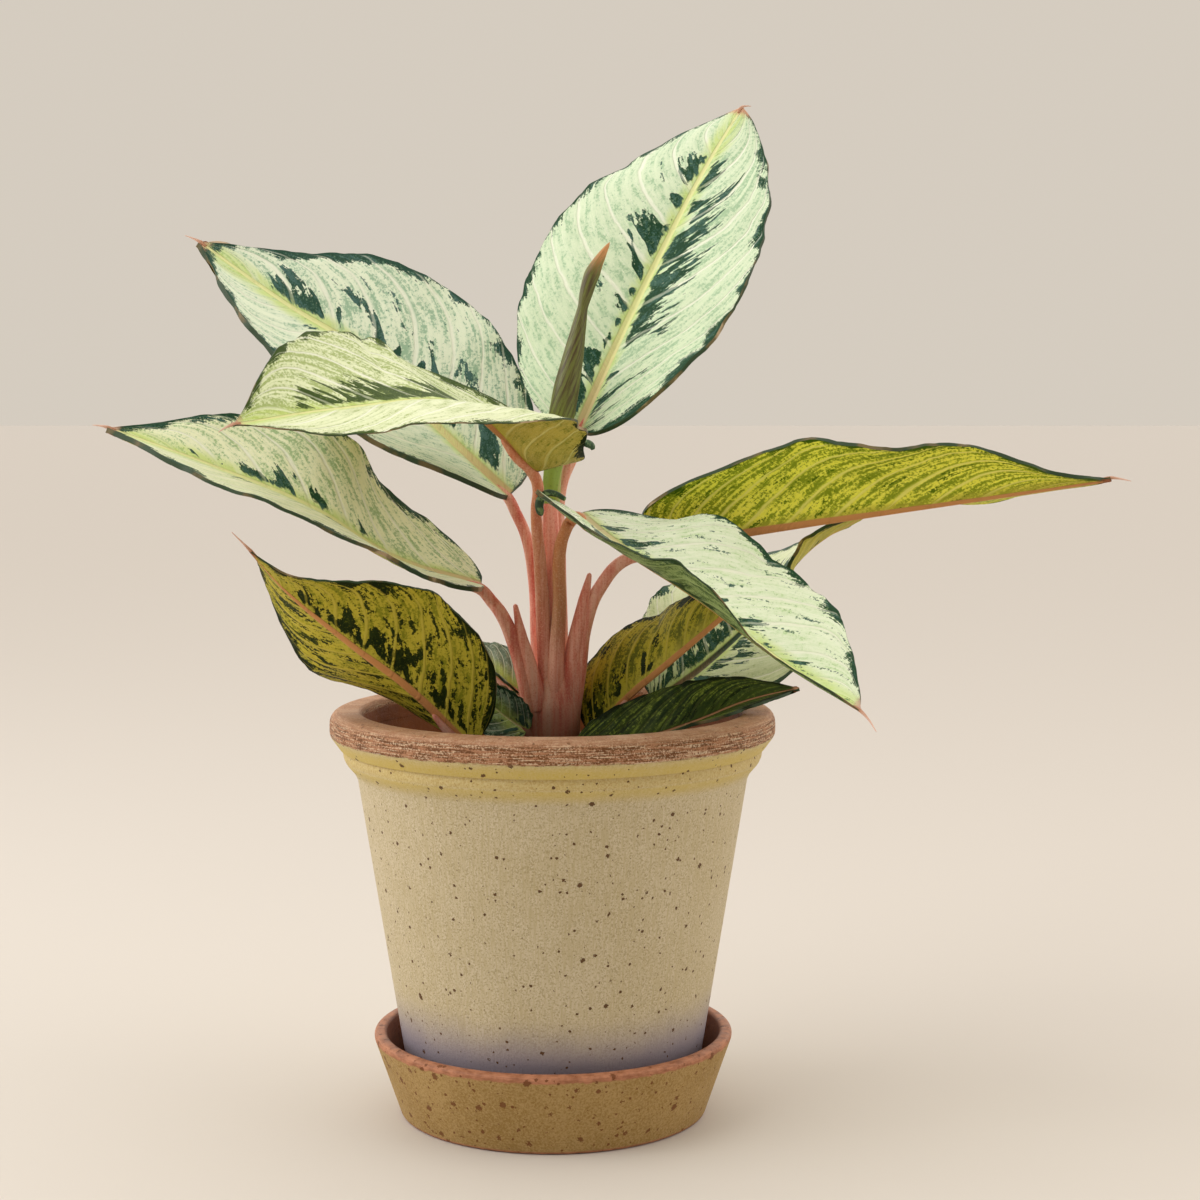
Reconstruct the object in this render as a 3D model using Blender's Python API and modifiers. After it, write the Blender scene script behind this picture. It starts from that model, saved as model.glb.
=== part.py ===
"""Potted chinese evergreen: a clay pot in its saucer, the soil, and a plant of thirteen leaves.

Metres, +Z up. The origin is the centre of the saucer's flat foot, on the surface it stands on.
The side that the leaves are arranged for looks towards -Y.
"""
import math

import bmesh
import bpy
from mathutils import Vector

PART = "potted_chinese_evergreen"
GAP = 0.0003                # clearance between pieces that touch
MERGE = 0.00005
TURN_STEPS = 36             # sides of a turned piece

# Saucer
SAUCER_FOOT_RADIUS = 0.0554
SAUCER_LIP_RADIUS = 0.0657
SAUCER_INNER_RADIUS = 0.0607
SAUCER_FLOOR_RADIUS = 0.0540
SAUCER_HEIGHT = 0.0300
SAUCER_FLOOR = 0.0065

# Pot: a 16 cm clay pot, measured at its rim
POT_RADIUS = 0.0800
POT_MOUTH_RADIUS = 0.0688
POT_FOOT_RADIUS = 0.0516
POT_FOOT_Z = SAUCER_FLOOR + GAP
POT_TOP_Z = 0.1467
POT_NECK_RADIUS = 0.0701    # the body, just below the beads
POT_NECK_Z = 0.1222
POT_WALL = 0.0060
POT_FLOOR_Z = 0.0165
DRAIN_RADIUS = 0.0080
RIM_ROUNDING = 0.0048       # the rolled rim's shoulder
RIM_LOW_Z = 0.1385
RIM_UNDER_RADIUS = 0.0762   # the rim tapers in below its roll
GROOVE_RADIUS = 0.0750      # between the rim and the second bead
GROOVE_Z = 0.1333
BEAD_RADIUS = 0.0754
BEAD_Z = 0.1310
BEAD_UNDER_RADIUS = 0.0743
BEAD_UNDER_Z = 0.1284
BEAD_ROUNDING = 0.0060      # a wide angle, so that it takes a large radius
NECK_TOP_RADIUS = 0.0712
NECK_TOP_Z = 0.1248

# Soil
SOIL_EDGE_Z = 0.1225
SOIL_CROWN_Z = 0.1250
SOIL_BUMP = 0.0006
SOIL_LUMPS = 300            # wave number of its lumps, per metre
SOIL_RINGS = 6
SOIL_CHAMFER = 0.0040       # at the bottom edge, where the pot's corner is rounded
STEM_HOLE_RADIUS = 0.0074
STEM_HOLE_Z = 0.0900

# Plant
BLADE_THICKNESS = 0.0007
RIDGE_THICKNESS = 0.0024    # blade and midrib together, on the midrib
RIDGE_FADE = 0.8            # share of the ridge that is gone at the tip
BLADE_CELLS = (14, 8)       # along and across a large blade
SMALL_CELLS = (10, 6)
COLUMN_POWER = 1.5          # over 1, it draws the lengthwise grid lines in towards the midrib
ON_MIDRIB = 0.01
NARROWEST = 0.05            # share of the half width left at a blade's two ends
LOBE_END = 0.25             # share of the length over which the base lobes reach back
WAVE_SHIFT = 0.37           # the right margin's ripple runs this far ahead of the left one's

# Each leaf's midrib runs from base to tip. face is where the upper side looks, at the base, the middle and
# the tip. lift is how far the left and the right half fold up there, in degrees, and curl is how much more
# the margin rises. wave is the ripple's height, its number along the blade and its phase. lobe is how far the
# left and the right half reach back past the base, along lobe_way where a blade has one and along the midrib
# where it has none. stalk is the route of the leaf stalk from the crown.
LEAVES = {
    "leaf_top_right": dict(
        midrib=[(0.009, 0.007, 0.246), (0.023, 0.018, 0.277), (0.038, 0.027, 0.308), (0.054, 0.037, 0.339),
                (0.070, 0.052, 0.366)],
        face=[(-0.2, -0.9, 0.4), (-0.1, -0.9, 0.4), (-0.2, -0.9, 0.4)],
        half_width=(0.044, 0.042), peak=0.43, tip_power=0.76,
        lift=[(19, 15, -4), (30, 22, 5)], curl=(-38, 4), wave=(0.0014, 3.5, 0.2), lobe=(0.003, 0.003),
        stalk=[(0.002, 0.004, 0.138), (0.0025, 0.006, 0.170), (0.0025, 0.007, 0.200),
               (0.0032, 0.007, 0.226)]),
    "leaf_upper_left": dict(
        midrib=[(-0.016, 0.012, 0.223), (-0.042, 0.019, 0.247), (-0.069, 0.024, 0.274),
                (-0.099, 0.027, 0.293),
                (-0.130, 0.031, 0.315)],
        face=[(0.2, -0.7, 0.6), (0.0, -0.8, 0.5), (0.0, -0.8, 0.5)],
        half_width=(0.040, 0.040), peak=0.35, tip_power=1.03,
        lift=[(34, 20, 13), (23, 18, 10)], curl=(21, -4), wave=(0.0012, 3.0, 0.0), lobe=(0.002, 0.002),
        stalk=[(-0.003, 0.004, 0.138), (-0.0055, 0.006, 0.168), (-0.007, 0.009, 0.192),
               (-0.010, 0.011, 0.208)]),
    "leaf_mid_left": dict(
        midrib=[(-0.006, -0.0145, 0.234), (-0.018, -0.025, 0.247), (-0.032, -0.050, 0.257),
                (-0.067, -0.073, 0.255),
                (-0.099, -0.096, 0.250)],
        face=[(-0.1, -0.3, 0.9), (0.2, 0.0, 1.0), (0.4, -0.3, 0.9)],
        half_width=(0.043, 0.043), peak=0.52, tip_power=1.1,
        lift=[(13, 8, 21), (17, 11, 38)], curl=(-19, 19), wave=(0.0014, 3.0, 0.3), lobe=(0.032, 0.004),
        lobe_way=(0.82, 0.50, 0.28),
        stalk=[(-0.001, -0.001, 0.138), (-0.003, -0.003, 0.170), (-0.0045, -0.006, 0.200),
               (-0.006, -0.010, 0.218)]),
    "leaf_low_left": dict(
        midrib=[(-0.025, -0.006, 0.192), (-0.055, -0.013, 0.202), (-0.083, -0.022, 0.220),
                (-0.118, -0.025, 0.235),
                (-0.153, -0.026, 0.248)],
        face=[(-0.1, -0.3, 1.0), (-0.2, -0.4, 0.9), (-0.1, -0.4, 0.9)],
        half_width=(0.035, 0.035), peak=0.45, tip_power=1.04,
        lift=[(12, 22, 20), (12, 24, 20)], curl=(1, 4), wave=(0.0010, 3.0, 0.5), lobe=(0.002, 0.002),
        stalk=[(-0.003, -0.002, 0.138), (-0.0086, -0.004, 0.155), (-0.013, -0.005, 0.169),
               (-0.018, -0.006, 0.181)]),
    "leaf_left_rim": dict(
        midrib=[(-0.028, -0.031, 0.137), (-0.048, -0.034, 0.158), (-0.068, -0.042, 0.175),
                (-0.087, -0.053, 0.193),
                (-0.098, -0.067, 0.208)],
        face=[(0.6, 0.8, 0.2), (0.5, 0.8, 0.0), (0.7, 0.7, -0.1)],
        half_width=(0.033, 0.031), peak=0.37, tip_power=1.04,
        lift=[(32, 12, 8), (39, 14, 12)], curl=(-3, 18), wave=(0.0012, 2.5, 0.1), lobe=(0.0, 0.0),
        stalk=[(-0.003, -0.004, 0.131), (-0.012, -0.014, 0.131)]),
    "leaf_right": dict(
        midrib=[(0.048, -0.001, 0.207), (0.083, -0.009, 0.213), (0.119, -0.018, 0.219),
                (0.155, -0.029, 0.225),
                (0.191, -0.038, 0.231)],
        face=[(0.0, 0.8, 0.6), (0.0, 0.7, 0.7), (0.0, 0.7, 0.7)],
        half_width=(0.034, 0.035), peak=0.40, tip_power=1.10,
        lift=[(50, 50, 30), (19, 14, 8)], curl=(0, -18), wave=(0.0030, 2.5, 0.1), lobe=(0.004, 0.034),
        stalk=[(0.005, 0.000, 0.138), (0.009, -0.002, 0.160), (0.012, -0.003, 0.178),
               (0.0165, -0.003, 0.190),
               (0.027, -0.003, 0.201)]),
    "leaf_front_right": dict(
        midrib=[(0.0095, -0.013, 0.218), (0.024, -0.038, 0.208), (0.051, -0.056, 0.191),
                (0.077, -0.073, 0.172),
                (0.100, -0.095, 0.159)],
        face=[(0.4, -0.5, 0.7), (0.4, -0.3, 0.8), (0.3, -0.5, 0.8)],
        half_width=(0.038, 0.037), peak=0.44, tip_power=0.82,
        lift=[(12, 18, 32), (10, 27, 27)], curl=(9, 10), wave=(0.0012, 2.5, 0.4), lobe=(0.0, 0.014),
        stalk=[(0.0015, -0.003, 0.138), (0.0015, -0.005, 0.168), (0.0028, -0.007, 0.196),
               (0.0040, -0.009, 0.208)]),
    "leaf_right_rim": dict(
        midrib=[(0.015, 0.000, 0.137), (0.026, -0.003, 0.150), (0.041, -0.011, 0.164),
                (0.056, -0.018, 0.178),
                (0.071, -0.025, 0.192)],
        face=[(0.0, 0.9, 0.3), (0.2, 1.0, 0.2), (0.1, 1.0, 0.3)],
        half_width=(0.016, 0.025), peak=0.38, tip_power=0.92,
        lift=[(80, 85, 85), (10, 35, 20)], curl=(0, 50), wave=(0.0010, 2.0, 0.0), lobe=(0.0, 0.0),
        stalk=[(0.004, 0.000, 0.133), (0.009, 0.001, 0.134)]),
    "leaf_back_right": dict(
        midrib=[(0.037, 0.011, 0.147), (0.058, 0.019, 0.162), (0.076, 0.030, 0.178), (0.093, 0.031, 0.201),
                (0.116, 0.025, 0.217)],
        face=[(0.3, -0.6, 0.7), (0.1, -0.2, 1.0), (0.1, -0.1, 1.0)],
        half_width=(0.036, 0.036), peak=0.39, tip_power=0.88,
        lift=[(18, 9, -14), (16, 13, 18)], curl=(-3, 5), wave=(0.0010, 2.0, 0.5), lobe=(0.0, 0.0),
        stalk=[(0.005, 0.003, 0.133), (0.018, 0.008, 0.137)]),
    "leaf_dark_rim": dict(
        midrib=[(0.008, -0.014, 0.133), (0.029, -0.016, 0.137), (0.050, -0.017, 0.144),
                (0.069, -0.013, 0.151),
                (0.088, -0.008, 0.155)],
        face=[(0.0, -0.9, 0.5), (0.0, -0.8, 0.6), (0.0, -0.9, 0.5)],
        half_width=(0.016, 0.013), peak=0.40, tip_power=0.95,
        lift=[(8, 8, 5), (50, 62, 45)], curl=(0, 0), wave=(0.0008, 2.0, 0.0), lobe=(0.0, 0.0),
        stalk=[(0.003, -0.005, 0.130), (0.005, -0.010, 0.130)]),
    "leaf_small_back": dict(
        midrib=[(-0.012, 0.009, 0.151), (-0.020, 0.014, 0.157), (-0.030, 0.020, 0.161),
                (-0.041, 0.026, 0.164)],
        face=[(0.0, -0.3, 1.0), (0.0, -0.3, 1.0), (0.0, -0.3, 1.0)],
        half_width=(0.011, 0.011), peak=0.40, tip_power=0.9,
        lift=[(40, 40, 30), (40, 40, 30)], curl=(0, 0), wave=(0.0, 2.0, 0.0), lobe=(0.0, 0.0),
        stalk=[(-0.004, 0.004, 0.134), (-0.008, 0.007, 0.144)]),
    "leaf_small_low": dict(
        midrib=[(-0.009, -0.006, 0.139), (-0.018, -0.010, 0.146), (-0.026, -0.013, 0.154),
                (-0.032, -0.015, 0.163)],
        face=[(-0.3, -0.9, 0.2), (-0.3, -0.9, 0.2), (-0.3, -0.9, 0.2)],
        half_width=(0.010, 0.010), peak=0.40, tip_power=0.9,
        lift=[(20, 20, 20), (20, 20, 20)], curl=(0, 0), wave=(0.0, 2.0, 0.0), lobe=(0.0, 0.0),
        stalk=[(-0.002, -0.002, 0.132), (-0.005, -0.004, 0.135)]),
}
SMALL_LEAVES = ("leaf_small_back", "leaf_small_low")
STALK_RADIUS = 0.0025       # a leaf stalk, half way up
STALK_FOOT_RADIUS = 0.0042  # where it wraps the crown
SHORT_STALK_RADIUS = 0.0022
SHORT_FOOT_RADIUS = 0.0028
STALK_END_RADIUS = 0.0020
STALK_BEND = 0.006          # length of a stalk's last stretch, which turns into the midrib

# The cane, and the free sheath tips beside two of the stalks, as (x, y, z, radius)
CANE = [(0.0, 0.0, 0.0905, 0.0064), (0.0, 0.0, 0.110, 0.0070), (0.0, 0.0, 0.1262, 0.0071),
        (0.0008, 0.0, 0.136, 0.0090), (0.0008, 0.0, 0.148, 0.0088), (0.0008, 0.0, 0.160, 0.0060)]
SHEATHS = [
    [(-0.0045, -0.0035, 0.146, 0.0040), (-0.0084, -0.0055, 0.164, 0.0026), (-0.0113, -0.006, 0.175, 0.0018),
     (-0.0133, -0.006, 0.185, 0.0007)],
    [(0.0055, -0.001, 0.150, 0.0040), (0.0082, -0.0035, 0.170, 0.0032), (0.0113, -0.0045, 0.186, 0.0021),
     (0.0134, -0.0045, 0.196, 0.0007)],
]
YOUNG_SHEATH = [(0.0, 0.001, 0.140, 0.0060), (-0.0005, 0.001, 0.170, 0.0055), (-0.0008, 0.001, 0.200, 0.0040),
                (-0.0007, 0.001, 0.2185, 0.0034)]
SPEAR = [(-0.0007, 0.001, 0.2188, 0.0029), (0.000, 0.001, 0.232, 0.0029), (0.0020, 0.0005, 0.243, 0.0038),
         (0.0040, 0.000, 0.252, 0.0046), (0.0060, 0.000, 0.267, 0.0046), (0.0078, 0.000, 0.279, 0.0036),
         (0.0108, 0.000, 0.291, 0.0023), (0.0145, 0.000, 0.304, 0.0014), (0.0210, 0.000, 0.3135, 0.0005)]

CLAY = (0.62, 0.50, 0.37)
BARE_CLAY = (0.55, 0.30, 0.19)
SOIL_BROWN = (0.05, 0.035, 0.025)
STALK_PINK = (0.70, 0.36, 0.33)
LEAF_GREEN = (0.50, 0.62, 0.34)
SPEAR_GREEN = (0.30, 0.42, 0.12)


def clear_scene():
    for obj in list(bpy.data.objects):
        bpy.data.objects.remove(obj, do_unlink=True)


def plain_material(name, colour, roughness):
    material = bpy.data.materials.new(name)
    material.use_nodes = True
    shader = material.node_tree.nodes["Principled BSDF"]
    shader.inputs["Base Color"].default_value = (*colour, 1.0)
    shader.inputs["Roughness"].default_value = roughness
    shader.inputs["Metallic"].default_value = 0.0
    return material


def add_object(name, mesh, collection, colour=None, roughness=0.5):
    obj = bpy.data.objects.new(name, mesh)
    collection.objects.link(obj)
    if colour:
        mesh.materials.clear()
        mesh.materials.append(plain_material(name, colour, roughness))
    return obj


def evaluated_mesh(obj):
    """The object's mesh with its modifiers or bevel applied, its loose caps welded."""
    mesh = bpy.data.meshes.new_from_object(obj.evaluated_get(bpy.context.evaluated_depsgraph_get()))
    bm = bmesh.new()
    bm.from_mesh(mesh)
    bmesh.ops.remove_doubles(bm, verts=bm.verts, dist=MERGE)
    bm.to_mesh(mesh)
    bm.free()
    return mesh


def rounded(corners):
    """A profile in (radius, z). Each corner (radius, z, rounding, steps) becomes an arc with those steps."""
    points = []
    count = len(corners)
    for index, (r, z, rounding, steps) in enumerate(corners):
        here = Vector((r, z))
        if not rounding:
            points.append(here)
            continue
        before = (Vector(corners[index - 1][:2]) - here).normalized()
        after = (Vector(corners[(index + 1) % count][:2]) - here).normalized()
        half_angle = before.angle(after) / 2
        reach = rounding / math.tan(half_angle)
        start, end = here + before * reach, here + after * reach
        for step in range(steps + 1):
            share = step / steps
            points.append(start * (1 - share) ** 2 + here * 2 * share * (1 - share) + end * share ** 2)
    return points


def turned(name, profile, closed, collection, colour, roughness):
    """A profile of (radius, z) points, spun about Z. It runs up the inside and down the outside."""
    mesh = bpy.data.meshes.new(name)
    count = len(profile)
    edges = [(i, (i + 1) % count) for i in range(count if closed else count - 1)]
    mesh.from_pydata([(p[0], 0.0, p[1]) for p in profile], edges, [])
    obj = add_object(name, mesh, collection, colour, roughness)
    screw = obj.modifiers.new("turn", "SCREW")
    screw.steps = screw.render_steps = TURN_STEPS
    screw.use_merge_vertices = True
    screw.merge_threshold = MERGE
    screw.use_smooth_shade = True
    return obj


def inner_radius(z):
    """The pot's inner wall, one wall thickness in from its outer taper."""
    share = (z - POT_FOOT_Z) / (POT_NECK_Z - POT_FOOT_Z)
    return POT_FOOT_RADIUS + (POT_NECK_RADIUS - POT_FOOT_RADIUS) * share - POT_WALL


def saucer(collection):
    corners = [
        (0.0, SAUCER_FLOOR, 0, 0),
        (SAUCER_FLOOR_RADIUS, SAUCER_FLOOR, 0.0030, 2),
        (SAUCER_INNER_RADIUS, SAUCER_HEIGHT, 0.0018, 3),
        (SAUCER_LIP_RADIUS, SAUCER_HEIGHT, 0.0022, 3),
        (SAUCER_FOOT_RADIUS, 0.0, 0.0014, 2),
        (0.0, 0.0, 0, 0),
    ]
    turned("saucer", rounded(corners), False, collection, CLAY, 0.8)


def pot(collection):
    corners = [
        (DRAIN_RADIUS, POT_FLOOR_Z, 0, 0),
        (inner_radius(POT_FLOOR_Z), POT_FLOOR_Z, 0.004, 2),
        (inner_radius(POT_NECK_Z), POT_NECK_Z, 0, 0),
        (POT_MOUTH_RADIUS, POT_TOP_Z, 0.0016, 2),
        (POT_RADIUS, POT_TOP_Z, RIM_ROUNDING, 4),
        (POT_RADIUS, RIM_LOW_Z, 0.003, 2),
        (RIM_UNDER_RADIUS, GROOVE_Z, 0.001, 2),
        (GROOVE_RADIUS, GROOVE_Z, 0, 0),
        (BEAD_RADIUS, BEAD_Z, 0, 0),
        (BEAD_UNDER_RADIUS, BEAD_UNDER_Z, BEAD_ROUNDING, 2),
        (NECK_TOP_RADIUS, NECK_TOP_Z, 0, 0),
        (POT_NECK_RADIUS, POT_NECK_Z, 0, 0),
        (POT_FOOT_RADIUS, POT_FOOT_Z, 0.0012, 2),
        (DRAIN_RADIUS, POT_FOOT_Z, 0, 0),
    ]
    turned("pot", rounded(corners), True, collection, CLAY, 0.75)


def soil_height(x, y, z):
    """The surface's small lumps, which die away at the wall and at the stem."""
    radius = math.hypot(x, y)
    fade = max(0.0, math.sin(math.pi * (radius - STEM_HOLE_RADIUS) / (inner_radius(z) - STEM_HOLE_RADIUS)))
    lumps = math.sin(SOIL_LUMPS * (x + y / 3)) + math.cos(SOIL_LUMPS * (y - x / 2))
    return z + SOIL_BUMP * fade * lumps


def soil(collection):
    edge_radius = inner_radius(SOIL_EDGE_Z) - GAP
    profile = [(0.0, STEM_HOLE_Z), (STEM_HOLE_RADIUS, STEM_HOLE_Z)]
    for ring in range(SOIL_RINGS + 1):
        share = ring / SOIL_RINGS
        radius = STEM_HOLE_RADIUS + (edge_radius - STEM_HOLE_RADIUS) * share
        profile.append((radius, SOIL_CROWN_Z + (SOIL_EDGE_Z - SOIL_CROWN_Z) * share))
    bottom = POT_FLOOR_Z + GAP
    profile += [(inner_radius(bottom + SOIL_CHAMFER) - GAP, bottom + SOIL_CHAMFER),
                (inner_radius(bottom) - SOIL_CHAMFER, bottom), (0.0, bottom)]
    spun = turned("soil_profile", profile, False, collection, None, 1.0)
    mesh = evaluated_mesh(spun)
    bpy.data.objects.remove(spun, do_unlink=True)
    for vertex in mesh.vertices:
        x, y, z = vertex.co
        if z > SOIL_EDGE_Z - GAP:
            vertex.co.z = soil_height(x, y, z)
    mesh.shade_smooth()
    add_object("soil", mesh, collection, SOIL_BROWN, 1.0)


def smooth_curve(name, points, collection):
    """A Bezier curve object through the points, with handles that keep it smooth."""
    curve = bpy.data.curves.new(name, "CURVE")
    curve.dimensions = "3D"
    spline = curve.splines.new("BEZIER")
    spline.bezier_points.add(len(points) - 1)
    for knot, point in zip(spline.bezier_points, points):
        knot.co = point[:3]
        knot.handle_left_type = knot.handle_right_type = "AUTO"
    obj = bpy.data.objects.new(name, curve)
    collection.objects.link(obj)
    return obj


def curve_line(points, collection):
    """The smooth curve's own points, from first to last."""
    obj = smooth_curve("midrib_line", points, collection)
    mesh = evaluated_mesh(obj)
    line = [vertex.co.copy() for vertex in mesh.vertices]
    bpy.data.objects.remove(obj, do_unlink=True)
    bpy.data.meshes.remove(mesh)
    return line


def station(line, share):
    """The place and the direction at a share of the line's length."""
    lengths = [0.0]
    for a, b in zip(line, line[1:]):
        lengths.append(lengths[-1] + (b - a).length)
    target = max(0.0, min(1.0, share)) * lengths[-1]
    last = len(line) - 2
    index = next((i for i in range(last + 1) if lengths[i + 1] >= target), last)
    step = lengths[index + 1] - lengths[index]
    place = line[index].lerp(line[index + 1], (target - lengths[index]) / step)
    ahead, behind = line[min(index + 2, last + 1)], line[max(index - 1, 0)]
    return place, (ahead - behind).normalized()


def keyed(keys, share):
    """Three keys, at the base, the middle and the tip."""
    first, second = (keys[0], keys[1]) if share < 0.5 else (keys[1], keys[2])
    part = share * 2 - (0 if share < 0.5 else 1)
    if isinstance(first, tuple):
        return Vector(first).lerp(Vector(second), part)
    return first + (second - first) * part


def width_share(share, peak, tip_power):
    """An elliptic base, widest at the peak, and a drawn-out tip."""
    if share < peak:
        width = math.sqrt(1 - ((peak - share) / peak) ** 2)
    else:
        width = math.cos(math.pi / 2 * (share - peak) / (1 - peak)) ** tip_power
    return max(width, NARROWEST)


def axes_at(leaf, line, share):
    """The midrib's place, its direction, the way the upper side looks and the way to the right margin."""
    place, along = station(line, share)
    face = keyed(leaf["face"], share)
    up = (face - along * face.dot(along)).normalized()
    return place, along, up, along.cross(up)


def blade_point(leaf, line, along_share, across):
    """A point of the upper face. across runs from -1 at the left margin to 1 at the right one."""
    place, along, up, right = axes_at(leaf, line, along_share)
    side = 1 if across > 0 else 0
    out = abs(across)
    width = width_share(along_share, leaf["peak"], leaf["tip_power"])
    reach = leaf["half_width"][side] * width * out
    angle = math.radians(keyed(leaf["lift"][side], along_share) + leaf["curl"][side] * out / 2)
    height, count, phase = leaf["wave"]
    ripple = math.sin(2 * math.pi * (count * along_share + phase + WAVE_SHIFT * side))
    ripple *= height * out * out * math.sin(math.pi * along_share) ** 0.5
    back = leaf["lobe"][side] * math.sqrt(width - NARROWEST) * out ** 3 * max(0.0, 1 - along_share / LOBE_END)
    lobe_way = Vector(leaf["lobe_way"]).normalized() if "lobe_way" in leaf else -along
    sideways = math.copysign(reach * math.cos(angle), across)
    return place + right * sideways + up * (reach * math.sin(angle) + ripple) + lobe_way * back


def blade(name, leaf, cells, collection):
    """One blade: a grid laid along the midrib and folded, split in triangles, then thickened downwards."""
    line = curve_line(leaf["midrib"], collection)
    bm = bmesh.new()
    bmesh.ops.create_grid(bm, x_segments=cells[0], y_segments=cells[1], size=0.5)
    mesh = bpy.data.meshes.new(name)
    weights = []
    for vertex in bm.verts:
        even = vertex.co.x + 0.5
        along_share = (even + 0.5 - 0.5 * math.cos(math.pi * even)) / 2
        across = -math.copysign(abs(2 * vertex.co.y) ** COLUMN_POWER, vertex.co.y)
        weights.append((1 - RIDGE_FADE * along_share) * (abs(across) < ON_MIDRIB))
        vertex.co = blade_point(leaf, line, along_share, across)
    bmesh.ops.triangulate(bm, faces=bm.faces)
    bm.to_mesh(mesh)
    bm.free()
    mesh.shade_smooth()
    obj = add_object(name, mesh, collection, LEAF_GREEN, 0.4)
    ridge = obj.vertex_groups.new(name="midrib")
    for index, weight in enumerate(weights):
        ridge.add([index], weight, "REPLACE")
    solid = obj.modifiers.new("thickness", "SOLIDIFY")
    solid.thickness = RIDGE_THICKNESS
    solid.offset = -1.0
    solid.vertex_group = "midrib"
    solid.thickness_vertex_group = BLADE_THICKNESS / RIDGE_THICKNESS
    return line


def tube_mesh(name, points, collection, smoothness=2, steps=3):
    """A closed tube through (x, y, z, radius) points, as a mesh."""
    obj = smooth_curve(name, points, collection)
    curve = obj.data
    curve.resolution_u = steps
    curve.bevel_depth = 1.0
    curve.bevel_resolution = smoothness
    curve.use_fill_caps = True
    for knot, point in zip(curve.splines[0].bezier_points, points):
        knot.radius = point[3]
    mesh = evaluated_mesh(obj)
    bpy.data.objects.remove(obj, do_unlink=True)
    return mesh


def stalk_route(leaf, line):
    """The stalk's points with their radii, from the crown to just short of the blade's base."""
    base, along, up, _ = axes_at(leaf, line, 0.0)
    route = leaf["stalk"]
    tall = len(route) > 2
    heading = (along * 2 + Vector((0, 0, 1))).normalized()
    clear = GAP + STALK_END_RADIUS * math.sin(heading.angle(along))
    end = base - along * clear - up * (RIDGE_THICKNESS / 2)
    bend = end - heading * STALK_BEND
    middle = STALK_RADIUS if tall else SHORT_STALK_RADIUS
    foot = STALK_FOOT_RADIUS if tall else SHORT_FOOT_RADIUS
    points = [(*route[0], foot)]
    points += [(*point, middle) for point in route[1:]]
    points += [(*bend, STALK_END_RADIUS), (*end, STALK_END_RADIUS)]
    return points


def stem(lines, collection):
    """The cane with every stalk and sheath that grew from it, joined in one body."""
    extras = bpy.data.collections.new("stalks")
    bpy.context.scene.collection.children.link(extras)
    for name, leaf in LEAVES.items():
        add_object(name + "_stalk", tube_mesh("stalk", stalk_route(leaf, lines[name]), collection), extras)
    for route in SHEATHS + [YOUNG_SHEATH]:
        add_object("sheath", tube_mesh("sheath", route, collection), extras)
    cane_mesh = tube_mesh("cane", CANE, collection, smoothness=4)
    cane = add_object("stem", cane_mesh, collection, STALK_PINK, 0.5)
    union = cane.modifiers.new("grown_together", "BOOLEAN")
    union.operation = "UNION"
    union.operand_type = "COLLECTION"
    union.collection = extras
    mesh = evaluated_mesh(cane)
    mesh.shade_smooth()
    cane.modifiers.clear()
    cane.data = mesh
    for obj in list(extras.objects):
        bpy.data.objects.remove(obj, do_unlink=True)
    bpy.data.collections.remove(extras)


def spear(collection):
    mesh = tube_mesh("spear", SPEAR, collection, smoothness=3)
    mesh.shade_smooth()
    add_object("leaf_spear", mesh, collection, SPEAR_GREEN, 0.4)


def main():
    clear_scene()
    collection = bpy.data.collections.new(PART)
    bpy.context.scene.collection.children.link(collection)
    saucer(collection)
    pot(collection)
    soil(collection)
    lines = {}
    for name, leaf in LEAVES.items():
        cells = SMALL_CELLS if name in SMALL_LEAVES else BLADE_CELLS
        lines[name] = blade(name, leaf, cells, collection)
    stem(lines, collection)
    spear(collection)


main()
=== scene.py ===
import math
from functools import partialmethod
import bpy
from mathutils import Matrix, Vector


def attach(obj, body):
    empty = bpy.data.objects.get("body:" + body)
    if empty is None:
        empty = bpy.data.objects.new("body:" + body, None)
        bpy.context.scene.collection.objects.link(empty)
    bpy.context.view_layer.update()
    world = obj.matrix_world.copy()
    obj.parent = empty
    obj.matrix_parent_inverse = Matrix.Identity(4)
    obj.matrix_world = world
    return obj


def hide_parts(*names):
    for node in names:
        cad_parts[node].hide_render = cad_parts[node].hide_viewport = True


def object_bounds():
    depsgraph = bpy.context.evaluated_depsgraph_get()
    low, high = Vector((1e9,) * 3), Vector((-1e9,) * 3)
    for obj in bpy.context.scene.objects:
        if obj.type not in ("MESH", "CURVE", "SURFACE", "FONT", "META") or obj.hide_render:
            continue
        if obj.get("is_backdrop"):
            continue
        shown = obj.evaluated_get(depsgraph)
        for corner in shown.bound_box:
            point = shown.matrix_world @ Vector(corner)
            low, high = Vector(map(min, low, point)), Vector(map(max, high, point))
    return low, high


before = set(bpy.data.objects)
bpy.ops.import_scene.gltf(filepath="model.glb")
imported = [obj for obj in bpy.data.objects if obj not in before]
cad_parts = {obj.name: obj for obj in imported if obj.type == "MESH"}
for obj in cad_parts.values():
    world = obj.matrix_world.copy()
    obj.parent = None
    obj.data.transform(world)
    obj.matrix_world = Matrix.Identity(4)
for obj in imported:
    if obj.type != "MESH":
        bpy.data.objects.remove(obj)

from types import SimpleNamespace

import bmesh
import bpy
from mathutils import Vector

cad_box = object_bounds()

# The view: the plant stands on a plain pale floor and is seen from in front, a little above the pot's rim.
# The room is a tent of soft light, dimmer where the camera stands, with one lamp high on the left and one on
# each side.
FLOOR_SIZE, FLOOR_DROP, FLOOR_PAINT = 30.0, 0.0002, (0.66, 0.62, 0.57)
CAMERA_PLACE, CAMERA_PITCH, LENS = (0.017, -0.838, 0.262), 5.2, 70.35
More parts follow.
